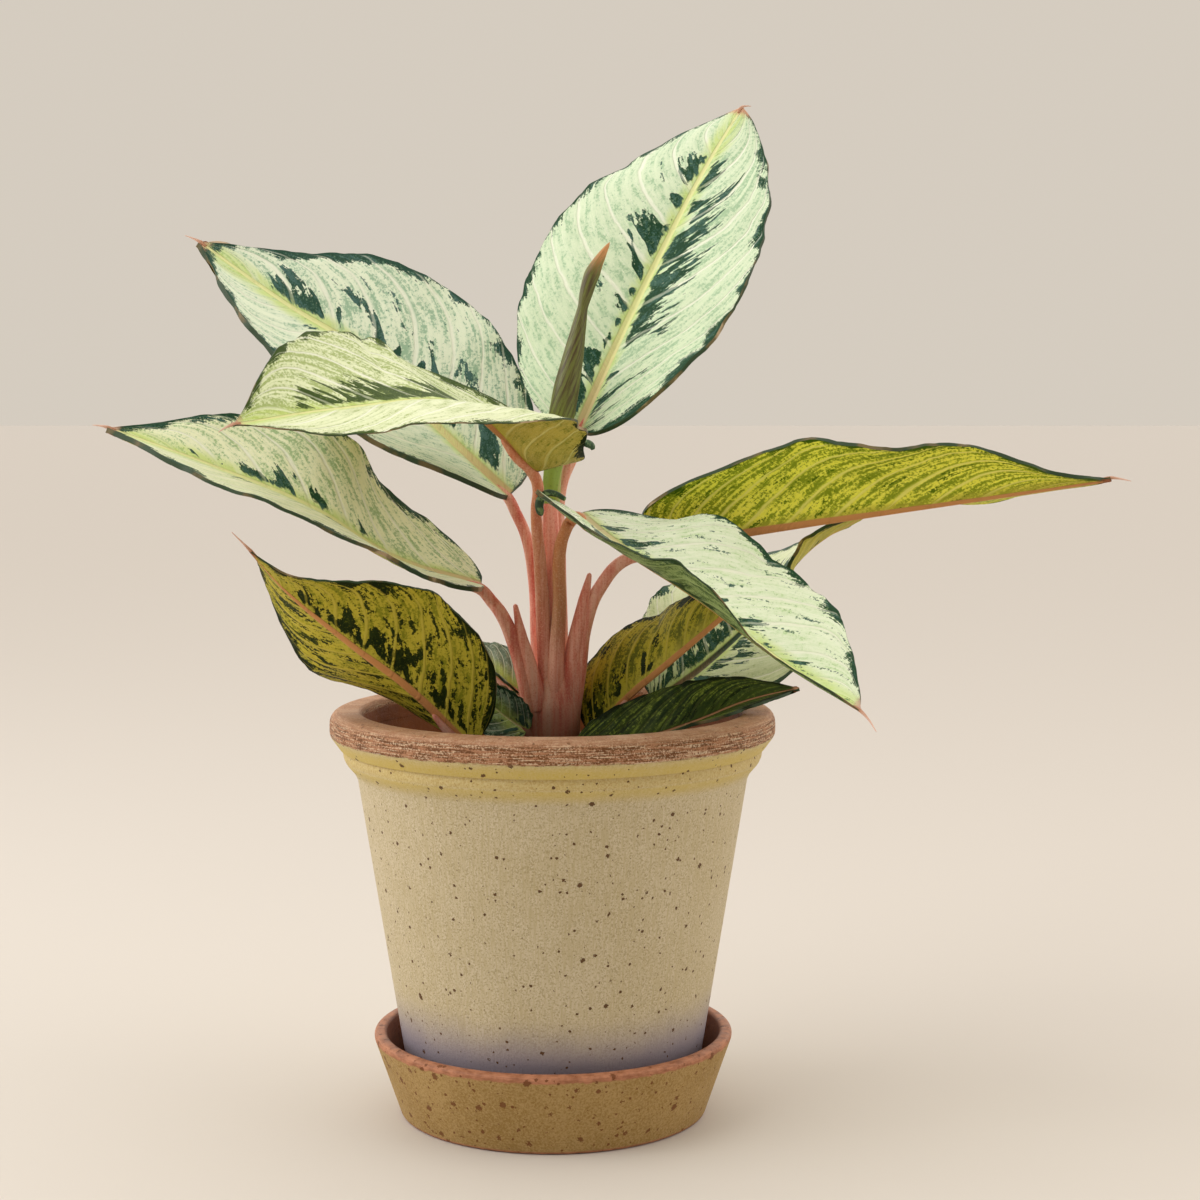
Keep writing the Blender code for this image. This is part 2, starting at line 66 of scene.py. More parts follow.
# The tent's light, the share of it that is left behind the camera, how far round that share starts (-1 is
# right behind), the light's colour, and the colour that the camera sees
ROOM_LIGHT, ROOM_DIM, DIMMEST_AT = 1.2, 0.25, -0.95
ROOM_COLOUR, ROOM_SEEN = (1.0, 0.93, 0.85), (0.665, 0.605, 0.525)
LIGHTS = {
    "key_light": dict(place=(-0.95, -0.75, 1.25), size=0.9, power=6.6, colour=(1.0, 0.97, 0.9)),
    "side_light": dict(place=(-1.3, -0.1, 0.55), size=0.8, power=5.2, colour=(0.94, 0.96, 1.0)),
    "fill_light": dict(place=(1.25, -0.35, 0.75), size=1.1, power=3.0, colour=(1.0, 0.94, 0.86)),
}
AIM = Vector((0.0, 0.0, 0.17))


def stand(name, data):
    """A new object in the scene."""
    thing = bpy.data.objects.new(name, data)
    bpy.context.scene.collection.objects.link(thing)
    return thing


def opened(tree):
    """From here on, new nodes go into this tree."""
    global workbench
    workbench = tree
    return tree


class Wire:
    """A socket of the open tree. Sums and products of wires place the nodes that work them out."""

    def __init__(self, socket):
        self.socket = socket

    def reckon(self, operation, *others, output=0):
        """The outcome of a mathematical operation on this and others, of vectors if any is a vector."""
        sockets = [self.socket] + [other.socket for other in others if isinstance(other, Wire)]
        wide = any(socket.type in ("VECTOR", "RGBA") for socket in sockets)
        kind = "ShaderNodeVectorMath" if wide else "ShaderNodeMath"
        return put(kind, dict(enumerate((self,) + others)), output, operation=operation)

    __add__ = partialmethod(reckon, "ADD")
    __sub__ = partialmethod(reckon, "SUBTRACT")
    __mul__ = partialmethod(reckon, "MULTIPLY")
    __truediv__ = partialmethod(reckon, "DIVIDE")
    __pow__ = partialmethod(reckon, "POWER")
    at_least = partialmethod(reckon, "MAXIMUM")

    def bell(self):
        """1 at nought, and falling away to both sides."""
        return (self ** 2 * -1).reckon("EXPONENT")

    def length(self):
        return self.reckon("LENGTH", output="Value")

    def parts(self):
        return [Wire(output) for output in place("ShaderNodeSeparateXYZ", {0: self}).outputs]

    def ramp(self, low, high, start=0, end=1):
        """A smooth step from start to end while the value goes from low to high."""
        inputs = {"Value": self, "From Min": low, "From Max": high, "To Min": start, "To Max": end}
        return put("ShaderNodeMapRange", inputs, interpolation_type="SMOOTHSTEP")


def plug(target, value):
    """A wire or a plain value, given to a socket."""
    if isinstance(value, Wire):
        workbench.links.new(value.socket, target)
    elif target.type == "VECTOR" and isinstance(value, (int, float)):
        target.default_value = (value, value, value)
    elif target.type == "RGBA" and len(value) == 3:
        target.default_value = (*value, 1)
    else:
        target.default_value = value


def place(kind, inputs, **settings):
    """A new node with its settings, and with each input linked or set."""
    node = workbench.nodes.new(kind)
    for name, value in settings.items():
        setattr(node, name, value)
    for key, value in inputs.items():
        plug(node.inputs[key], value)
    return node


def put(kind, inputs, output=0, **settings):
    """A new node's output, as a wire."""
    return Wire(place(kind, inputs, **settings).outputs[output])


def new_finish(name):
    """A new material, opened, and its object coordinates."""
    finish = bpy.data.materials.new(name)
    finish.use_nodes = True
    opened(finish.node_tree)
    return finish, put("ShaderNodeTexCoord", {}, "Object")


def coat(colour, roughness, shine=0.5, relief=None, depth=0.0, strength=0.0):
    """What the open material's shader is given: colour, roughness, shine, and a relief with its depth."""
    inputs = workbench.nodes["Principled BSDF"].inputs
    plug(inputs["Base Color"], colour)
    plug(inputs["Roughness"], roughness)
    inputs["Specular IOR Level"].default_value = shine
    if relief:
        bump = {"Height": relief, "Distance": depth, "Strength": strength}
        plug(inputs["Normal"], put("ShaderNodeBump", bump))


floor_mesh = bpy.data.meshes.new("floor")
ends = (-FLOOR_SIZE / 2, FLOOR_SIZE / 2)
floor_mesh.from_pydata([(x, y, -FLOOR_DROP) for y in ends for x in ends], [], [(0, 1, 3, 2)])
paint, _ = new_finish("pale_floor")
coat(FLOOR_PAINT, 0.8)
floor_mesh.materials.append(paint)
stand("floor", floor_mesh)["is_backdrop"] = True

for label, light in LIGHTS.items():
    lamp = bpy.data.lights.new(label, "AREA")
    lamp.size, lamp.energy, lamp.color = light["size"], light["power"], light["colour"]
    holder = stand(label, lamp)
    holder.location = light["place"]
    holder.rotation_euler = (AIM - holder.location).to_track_quat("-Z", "Y").to_euler()
world = bpy.data.worlds.new("tent")
world.use_nodes = True
opened(world.node_tree)
_, facing, _ = put("ShaderNodeTexCoord", {}, "Generated").parts()
tent, surface = workbench.nodes["Background"], workbench.nodes["World Output"].inputs["Surface"]
plug(tent.inputs["Color"], ROOM_COLOUR)
plug(tent.inputs["Strength"], facing.ramp(DIMMEST_AT, 0, ROOM_DIM * ROOM_LIGHT, ROOM_LIGHT))
backdrop = put("ShaderNodeBackground", {"Color": ROOM_SEEN})
by_camera = put("ShaderNodeLightPath", {}, "Is Camera Ray")
plug(surface, put("ShaderNodeMixShader", {0: by_camera, 1: Wire(tent.outputs[0]), 2: backdrop}))
bpy.context.scene.world = world
bpy.context.scene.view_settings.view_transform = "Standard"

camera = bpy.data.cameras.new("camera")
camera.lens = LENS
camera.sensor_width = 36
view = stand("camera", camera)
view.location = CAMERA_PLACE
view.rotation_euler = (math.radians(90 - CAMERA_PITCH), 0, 0)
bpy.context.scene.camera = view


# The saucer: a dish turned from the pot's own red clay, with a speckled sand glaze brushed on its outer side.
# The lip and the inside are left bare, and the clay inside the dish is painted darker as painted shade. It
# lies under the pot, loose.
SAUCER_FOOT, SAUCER_LIP, SAUCER_INNER, SAUCER_BED = 0.0554, 0.0657, 0.0607, 0.054
SAUCER_HEIGHT, SAUCER_FLOOR = 0.03, 0.0065
SAUCER_SIDES = 144
# Points nearer than this are one, and an edge that turns more than this is sharp
WELD, SHARP_EDGE = 0.00002, 50
SAND_GLAZE, SAND_SHADE = (0.43, 0.285, 0.11), (0.29, 0.175, 0.05)
# The last of these is painted shade for the clay towards the middle of the dish
BARE_CLAY, DARK_CLAY, SAUCER_INSIDE_SHADE = (0.5, 0.22, 0.12), (0.24, 0.085, 0.035), (0.16, 0.045, 0.018)
RUST_SPECK = (0.15, 0.045, 0.01)


def wires(node, *names):
    """A node's outputs of these names."""
    return [Wire(node.outputs[name]) for name in names]


def vector(x=0, y=0, z=0):
    return put("ShaderNodeCombineXYZ", {0: x, 1: y, 2: z})


def noise(where, scale=1, detail=2, roughness=0.5, output=0):
    inputs = {"Vector": where, "Scale": scale, "Detail": detail, "Roughness": roughness}
    return put("ShaderNodeTexNoise", inputs, output)


def layers(colour, *coats):
    """A colour with others laid over it in turn. Each coat is its share and its colour."""
    for share, over in coats:
        colour = put("ShaderNodeMix", {0: share, 6: colour, 7: over}, 2, data_type="RGBA")
    return colour


def new_tree(name, kind, inputs, outputs):
    """An empty node group, opened: the group, its inputs as wires, and its output node."""
    tree = bpy.data.node_groups.new(name, kind)
    for direction, sockets in (("INPUT", inputs), ("OUTPUT", outputs)):
        for socket, labels in sockets.items():
            for label in labels.split(", "):
                tree.interface.new_socket(label, in_out=direction, socket_type="NodeSocket" + socket)
    entry = opened(tree).nodes.new("NodeGroupInput")
    given = {output.name.lower().replace(" ", "_"): Wire(output) for output in entry.outputs if output.name}
    return tree, SimpleNamespace(**given), tree.nodes.new("NodeGroupOutput")


# Iron specks that came through the glaze in the kiln
iron_specks, given, result = new_tree(
    "iron_specks", "ShaderNodeTree", {"Vector": "Where", "Float": "Spacing, Size, Share"}, {"Float": "Mask"})
wobble = noise(given.where, 1600, output="Color")
nudged = given.where + (wobble - 0.5) * given.size * 1.6
cells = place("ShaderNodeTexVoronoi", {"Vector": nudged / given.spacing, "Scale": 1.0})
colour, middle = wires(cells, "Color", "Distance")
gone, chosen, _ = colour.parts()
radius = given.size / given.spacing * (chosen * chosen * 0.8 + 0.35)
speck = (middle - radius).ramp(0, -0.012)
plug(result.inputs["Mask"], speck * gone.reckon("LESS_THAN", given.share))

# Brush marks that run round a turned piece or up it, by how finely each way is cut up
brush_marks, given, result = new_tree(
    "brush_marks", "ShaderNodeTree", {"Vector": "Where", "Float": "Round, Up, Detail"}, {"Float": "Marks"})
x, y, z = given.where.parts()
outward = vector(x, y).reckon("NORMALIZE")
marks = noise(outward * given.round + vector(0, 0, z * given.up), 1, given.detail, 0.6)
plug(result.inputs["Marks"], marks)


def specked(where, fine, big):
    """Fine and big specks in one mask, each by its cells' spacing, its size and its share of cells."""
    masks = [put("ShaderNodeGroup", dict(Where=where, Spacing=spacing, Size=size, Share=share),
                 node_tree=iron_specks) for spacing, size, share in (fine, big)]
    return masks[0].at_least(masks[1])


def brushed(where, around, up, detail):
    inputs = dict(Where=where, Round=around, Up=up, Detail=detail)
    return put("ShaderNodeGroup", inputs, node_tree=brush_marks)


def rounded(corners, steps=8):
    """A profile of (radius, z): each corner (radius, z, rounding) becomes an arc."""
    points = []
    for index, (r, z, rounding) in enumerate(corners):
        here = Vector((r, z))
        if not rounding:
            points.append(here)
            continue
        before = (Vector(corners[index - 1][:2]) - here).normalized()
        after = (Vector(corners[(index + 1) % len(corners)][:2]) - here).normalized()
        reach = rounding / math.tan(before.angle(after) / 2)
        start, end = here + before * reach, here + after * reach
        for step in range(steps + 1):
            share = step / steps
            points.append(start * (1 - share) ** 2 + here * 2 * share * (1 - share) + end * share ** 2)
    return points


def settle(name, mesh, slot, *nodes):
    """The finished piece, at the origin, riding on the part and standing for its CAD nodes."""
    if mesh.materials[0] is None:
        mesh.materials.pop(index=0)
    piece = stand(name, mesh)
    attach(piece, "root")
    if nodes:
        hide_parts(*nodes)


def plain(thing):
    """The plain mesh that an object's modifiers make. The object goes."""
    mesh = bpy.data.meshes.new_from_object(thing.evaluated_get(bpy.context.evaluated_depsgraph_get()))
    bpy.data.objects.remove(thing, do_unlink=True)
    return mesh


def turned(name, corners, closed, sides, finish):
    """A profile spun about Z, for the CAD node of that name."""
    profile = rounded(corners)
    count = len(profile)
    mesh = bpy.data.meshes.new(name)
    edges = [(i, (i + 1) % count) for i in range(count if closed else count - 1)]
    mesh.from_pydata([(p[0], 0.0, p[1]) for p in profile], edges, [])
    spun = stand(name + "_profile", mesh)
    screw = spun.modifiers.new("wheel", "SCREW")
    screw.steps = screw.render_steps = sides
    screw.use_merge_vertices = True
    screw.merge_threshold = WELD
    screw.use_smooth_shade = True
    result = plain(spun)
    result.set_sharp_from_angle(angle=math.radians(SHARP_EDGE))
    result.materials.clear()
    result.materials.append(finish)
    settle("clay_" + name, result, name, name)


saucer_glaze, where = new_finish("saucer_glaze")
x, y, z = where.parts()
radial = vector(x, y).length()
wear = noise(where, 260, 4, 0.65)
round_marks = brushed(where, 14, 2200, 4)
cloud = noise(where, 38, 3, 0.6)
sand = noise(where, 1300, 4, 0.7)
glaze = layers(SAND_SHADE, ((sand * 0.75 + cloud * 0.25).ramp(0.4, 0.6), SAND_GLAZE))
clay = layers(
    DARK_CLAY, ((wear * 0.6 + round_marks * 0.4).ramp(0.3, 0.66), BARE_CLAY),
    # Painted shade: the clay towards the middle of the dish, on its floor and up its inner wall and beneath
    # it, is darkened
    ((radial - z * 0.28).ramp(0.0535, 0.0515) * 0.85, SAUCER_INSIDE_SHADE))
outer_wall = (z * ((SAUCER_LIP - SAUCER_FOOT) / SAUCER_HEIGHT) + SAUCER_FOOT - radial).ramp(0.003, 0.0018)
below_lip = (z + (wear - 0.5) * 0.0022).ramp(0.0279, 0.0271)
above_foot = z.ramp(0.0004, 0.0014)
specks = specked(where, (0.0024, 0.00062, 0.7), (0.0046, 0.0013, 0.75))
colour = layers(clay, (outer_wall * below_lip * above_foot, glaze), (specks * 0.85, RUST_SPECK))
roughness = wear.ramp(0.3, 0.7, 0.62, 0.82) - z.ramp(0.0285, 0.0295) * 0.2
grain = noise(where, 900, 4, 0.7) + round_marks * 0.5 - specks * 0.5
coat(colour, roughness, 0.3, grain, 0.0003, 0.5)
saucer_corners = [
    (0.0, SAUCER_FLOOR, 0), (SAUCER_BED, SAUCER_FLOOR, 0.003), (SAUCER_INNER, SAUCER_HEIGHT, 0.0018),
    (SAUCER_LIP, SAUCER_HEIGHT, 0.0022), (SAUCER_FOOT, 0.0, 0.0014), (0.0, 0.0, 0),
]
turned("saucer", saucer_corners, False, SAUCER_SIDES, saucer_glaze)


# The pot: thrown from red clay with a rolled rim and a second bead under it. The body has a cream matte glaze
# with iron specks, yellow where it pooled in the two grooves, and lavender at the foot; the rim is worn bare.
POT_FOOT_Z, POT_FOOT, POT_NECK_Z, POT_NECK = 0.0068, 0.0516, 0.1222, 0.0701
POT_WALL, POT_FLOOR_Z, DRAIN = 0.006, 0.0165, 0.008
POT_RIM, POT_MOUTH, POT_TOP_Z, RIM_LOW_Z = 0.08, 0.0688, 0.1467, 0.1385
RIM_UNDER, GROOVE, GROOVE_Z = 0.0762, 0.075, 0.1333
BEAD, BEAD_Z, BEAD_UNDER, BEAD_UNDER_Z = 0.0754, 0.131, 0.0743, 0.1284
NECK_TOP, NECK_TOP_Z = 0.0712, 0.1248
POT_SIDES = 160
CREAM, CREAM_SHADE, CREAM_GRAIN = (0.65, 0.56, 0.39), (0.52, 0.43, 0.25), (0.32, 0.24, 0.09)
POOLED_YELLOW = (0.6, 0.45, 0.09)
LAVENDER = (0.27, 0.24, 0.31)
# The second of these is the rim's top: worn clay, made lighter partly by its wear and partly by a painted
# highlight
RIM_CLAY, RIM_TOP_WORN_AND_LIT, RIM_DARK = (0.42, 0.2, 0.1), (0.55, 0.31, 0.19), (0.15, 0.055, 0.015)
RIM_PALE = (0.68, 0.53, 0.36)
# The bare clay inside the mouth: the pot's own terracotta, darkened in two tones with painted shade
INNER_CLAY_IN_SHADE, INNER_SHADE = (0.28, 0.085, 0.018), (0.17, 0.045, 0.007)
BROWN_SPECK = (0.1, 0.04, 0.01)


def wall_radius(height):
    """The body's outer radius at a height."""
    return POT_FOOT + (POT_NECK - POT_FOOT) * (height - POT_FOOT_Z) / (POT_NECK_Z - POT_FOOT_Z)


pot_glaze, where = new_finish("pot_glaze")
x, y, z = where.parts()
radial = vector(x, y).length()
up_marks, dashes = brushed(where, 95, 130, 4), brushed(where, 11, 1700, 5)
scrapes = brushed(where, 7, 2600, 4)
cloud = noise(where, 26, 3, 0.6)
wear = noise(where, 420, 4, 0.65)
sand = noise(where, 1500, 4, 0.7)
under_rim = z.ramp(0.1316, 0.1338) * z.ramp(0.1394, 0.135, 0.35, 1)
under_bead = z.ramp(0.1228, 0.1282) * z.ramp(0.1302, 0.1284)
on_bead = z.ramp(0.128, 0.13) * z.ramp(0.1336, 0.1324)
pooled = under_rim.at_least(under_bead * 0.8).at_least(on_bead * 0.65)
specks = specked(where, (0.0026, 0.00055, 0.6), (0.0046, 0.0009, 0.55))
wall_line = z * ((POT_NECK - POT_FOOT) / (POT_NECK_Z - POT_FOOT_Z)) + (POT_FOOT - 0.0041)
inside = (radial - wall_line).ramp(0.0006, -0.0006)
worn = (z + (scrapes - 0.5) * 0.0024 + (wear - 0.5) * 0.0016).ramp(0.1381, 0.1387)
on_top = z.ramp(0.144, 0.1456)
foot = z.ramp(0.0086, 0.0076)
# The top of the rim: worn clay painted lighter, partly its wear and partly a painted highlight where the top
# faces the light
top_clay_worn_and_lit = layers(
    RIM_CLAY, ((wear * 0.5 + scrapes * 0.5).ramp(0.4, 0.6), RIM_TOP_WORN_AND_LIT),
    (sand.ramp(0.5, 0.6) * 0.35, RIM_PALE))
clay = layers(
    RIM_DARK, ((dashes * 0.55 + sand * 0.45).ramp(0.44, 0.54), RIM_CLAY),
    ((scrapes * 0.55 + sand * 0.45).ramp(0.52, 0.58) * 0.85, RIM_PALE), (on_top * 0.85, top_clay_worn_and_lit),
    (specks * 0.7, RIM_DARK))
colour = layers(
    CREAM_SHADE, ((cloud * 0.25 + up_marks * 0.75).ramp(0.34, 0.62), CREAM),
    ((sand * 0.7 + up_marks * 0.3).ramp(0.5, 0.57) * 0.58, CREAM_GRAIN),
    ((z + (cloud - 0.5) * 0.012).ramp(0.05, 0.028) * 0.9, LAVENDER),
    (pooled * (cloud * 0.5 + sand * 0.5).ramp(0.3, 0.7, 0.55, 1), POOLED_YELLOW),
    (on_bead * sand.ramp(0.48, 0.6) * 0.25, RIM_CLAY), (specks * 0.95, BROWN_SPECK),
    (worn.at_least(foot), clay),
    # Painted shade: inside the mouth the bare clay is laid darker, in two tones
    (inside * z.ramp(0.1445, 0.143), layers(INNER_SHADE, (cloud.ramp(0.3, 0.7), INNER_CLAY_IN_SHADE))))
grain = sand * 1.2 + up_marks * 0.9 + worn * dashes * 2.2 - specks * 0.4
coat(colour, wear.ramp(0.3, 0.7, 0.55, 0.75), 0.3, grain, 0.00035, 0.6)
pot_corners = [
    (DRAIN, POT_FLOOR_Z, 0), (wall_radius(POT_FLOOR_Z) - POT_WALL, POT_FLOOR_Z, 0.004),
    (POT_NECK - POT_WALL, POT_NECK_Z, 0), (POT_MOUTH, POT_TOP_Z, 0.0018), (POT_RIM, POT_TOP_Z, 0.0048),
    (POT_RIM, RIM_LOW_Z, 0.004), (RIM_UNDER, GROOVE_Z, 0.001), (GROOVE, GROOVE_Z, 0.0003),
    (BEAD, BEAD_Z, 0.004), (BEAD_UNDER, BEAD_UNDER_Z, 0.006), (NECK_TOP, NECK_TOP_Z, 0.006),
    (POT_NECK, POT_NECK_Z, 0), (POT_FOOT, POT_FOOT_Z, 0.0012), (DRAIN, POT_FOOT_Z, 0),
]
turned("pot", pot_corners, True, POT_SIDES, pot_glaze)


# The soil: dark peat with crumbs of bark, filled in round the cane to about 20 mm below the rim.
# The solid keeps its place, and loose crumbs lie on it.
SOIL_EDGE_Z, SOIL_CROWN_Z, SOIL_CROWN = 0.1225, 0.125, 0.0074
# The ring that the crumbs lie in, their mean size, how many lie on a square centimetre, and how sizes vary
CRUMBS_INNER, CRUMBS_OUTER, CRUMB_SIZE, CRUMBS_TO_CM2 = 0.0105, 0.0625, 0.0016, 14.0
CRUMB_LEAST, CRUMB_MOST, DISC_SIDES = (0.4, 0.4, 0.3), (1.8, 1.3, 0.9), 64
ANY_TURN = (6.28, 6.28, 6.28)
PEAT, BARK, WET = (0.03, 0.018, 0.011), (0.085, 0.045, 0.022), (0.012, 0.008, 0.006)

peat, where = new_finish("peat")
lumps = noise(where, 420, 5, 0.7)
tone = layers(WET, (lumps.ramp(0.35, 0.65), PEAT), (noise(where, 150).ramp(0.52, 0.66), BARK))
coat(tone, 0.95, 0.5, lumps, 0.0015, 0.8)
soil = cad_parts["soil"]
soil.data.materials.clear()
soil.data.materials.append(peat)


def geo(kind, first, inputs={}, output=0, **settings):
    """The output of a new Geometry Nodes node, as a wire. first goes into its first socket."""
    return put("GeometryNode" + kind, {0: first, **inputs}, output, **settings)


def chance(seed, **limits):
    return put("FunctionNodeRandomValue", {**limits, "Seed": seed}, data_type="FLOAT_VECTOR")


crumb_tree, given, result = new_tree(
    "crumbs", "GeometryNodeTree", {"Float": "Inner Radius, Outer Radius, Crumb, Density", "Int": "Seed",
                                   "Material": "Finish"}, {"Geometry": "Crumbs"})
disc = geo("MeshCircle", DISC_SIDES, {"Radius": given.outer_radius}, fill_type="TRIANGLE_FAN")
scatter = {"Density": given.density, "Seed": given.seed}
points = geo("DistributePointsOnFaces", disc, scatter, "Points")
spot = put("GeometryNodeInputPosition", {})
spread = spot.length()
near_cane = put("FunctionNodeCompare", {"A": spread, "B": given.inner_radius}, operation="LESS_THAN")
points = geo("DeleteGeometry", points, {"Selection": near_cane})
rise = spread.ramp(SOIL_CROWN, given.outer_radius, SOIL_CROWN_Z, SOIL_EDGE_Z)
points = geo("SetPosition", points, {"Offset": vector(0, 0, rise)})
ball = geo("MeshIcoSphere", 0.5, {"Subdivisions": 1})
turn = chance(given.seed, Max=ANY_TURN)
size = chance(5, Min=CRUMB_LEAST, Max=CRUMB_MOST)
scale = size * given.crumb
crumbs = geo("InstanceOnPoints", points, {"Instance": ball, "Rotation": turn, "Scale": scale})
crumbs = geo("RealizeInstances", crumbs)
jag = noise(spot, 900, output="Color")
crumbs = geo("SetPosition", crumbs, {"Offset": (jag - 0.5) * given.crumb * 0.7})
crumbs = geo("SetMaterial", crumbs, {"Material": given.finish})
plug(result.inputs["Crumbs"], crumbs)


def grow(tree, values):
    """The plain mesh that a tree makes from these inputs."""
    host = stand("host", bpy.data.meshes.new("host"))
    modifier = host.modifiers.new("growth", "NODES")
    modifier.node_group = tree
    for item in tree.interface.items_tree:
        if item.in_out == "INPUT" and item.name in values:
            modifier[item.identifier] = values[item.name]
    return plain(host)


crumb_mesh = grow(crumb_tree, {
    "Inner Radius": CRUMBS_INNER, "Outer Radius": CRUMBS_OUTER, "Crumb": CRUMB_SIZE,
    "Density": CRUMBS_TO_CM2 * 10000, "Seed": 3, "Finish": peat})
settle("soil_crumbs", crumb_mesh, "soil")


# The leaf blades: thin waxy blades, pale mint above and yellow-olive below, marked with dark feathers along
# the midrib and the margin. A fleshy midrib stands out below. Each grew out of the end of its own stalk.
MM = 0.001
BLADE_THICKNESS, RIDGE_THICKNESS, RIDGE_HALF = 0.45 * MM, 2.4 * MM, 1.5 * MM
# A midrib is this much of its full size for each metre of its length; painted, a full one has this half width
RIB_GROWTH, RIB_HALF = 7.2, 1.9 * MM
GROOVE_DEPTH, GROOVE_HALF = 0.6 * MM, 1.4 * MM
CELLS_ALONG, CELLS_ACROSS = 120, 44
LOBE_END, WAVE_SHIFT, NARROWEST = 0.25, 0.37, 0.02
VEINS_PER_BLADE, QUILT = 8.5, 0.35 * MM
RAGGED, CRIMP = 0.12, 3.5 * MM
# How much further than its share a feather reaches at most, and how soft its outline is
FEATHER_REACH, FEATHER_EDGE = 1.35, 7.0 * MM
# How much rougher the dullest spots are, and how near two points are that become one
DULLER, BLADE_WELD = 0.14, 0.000002
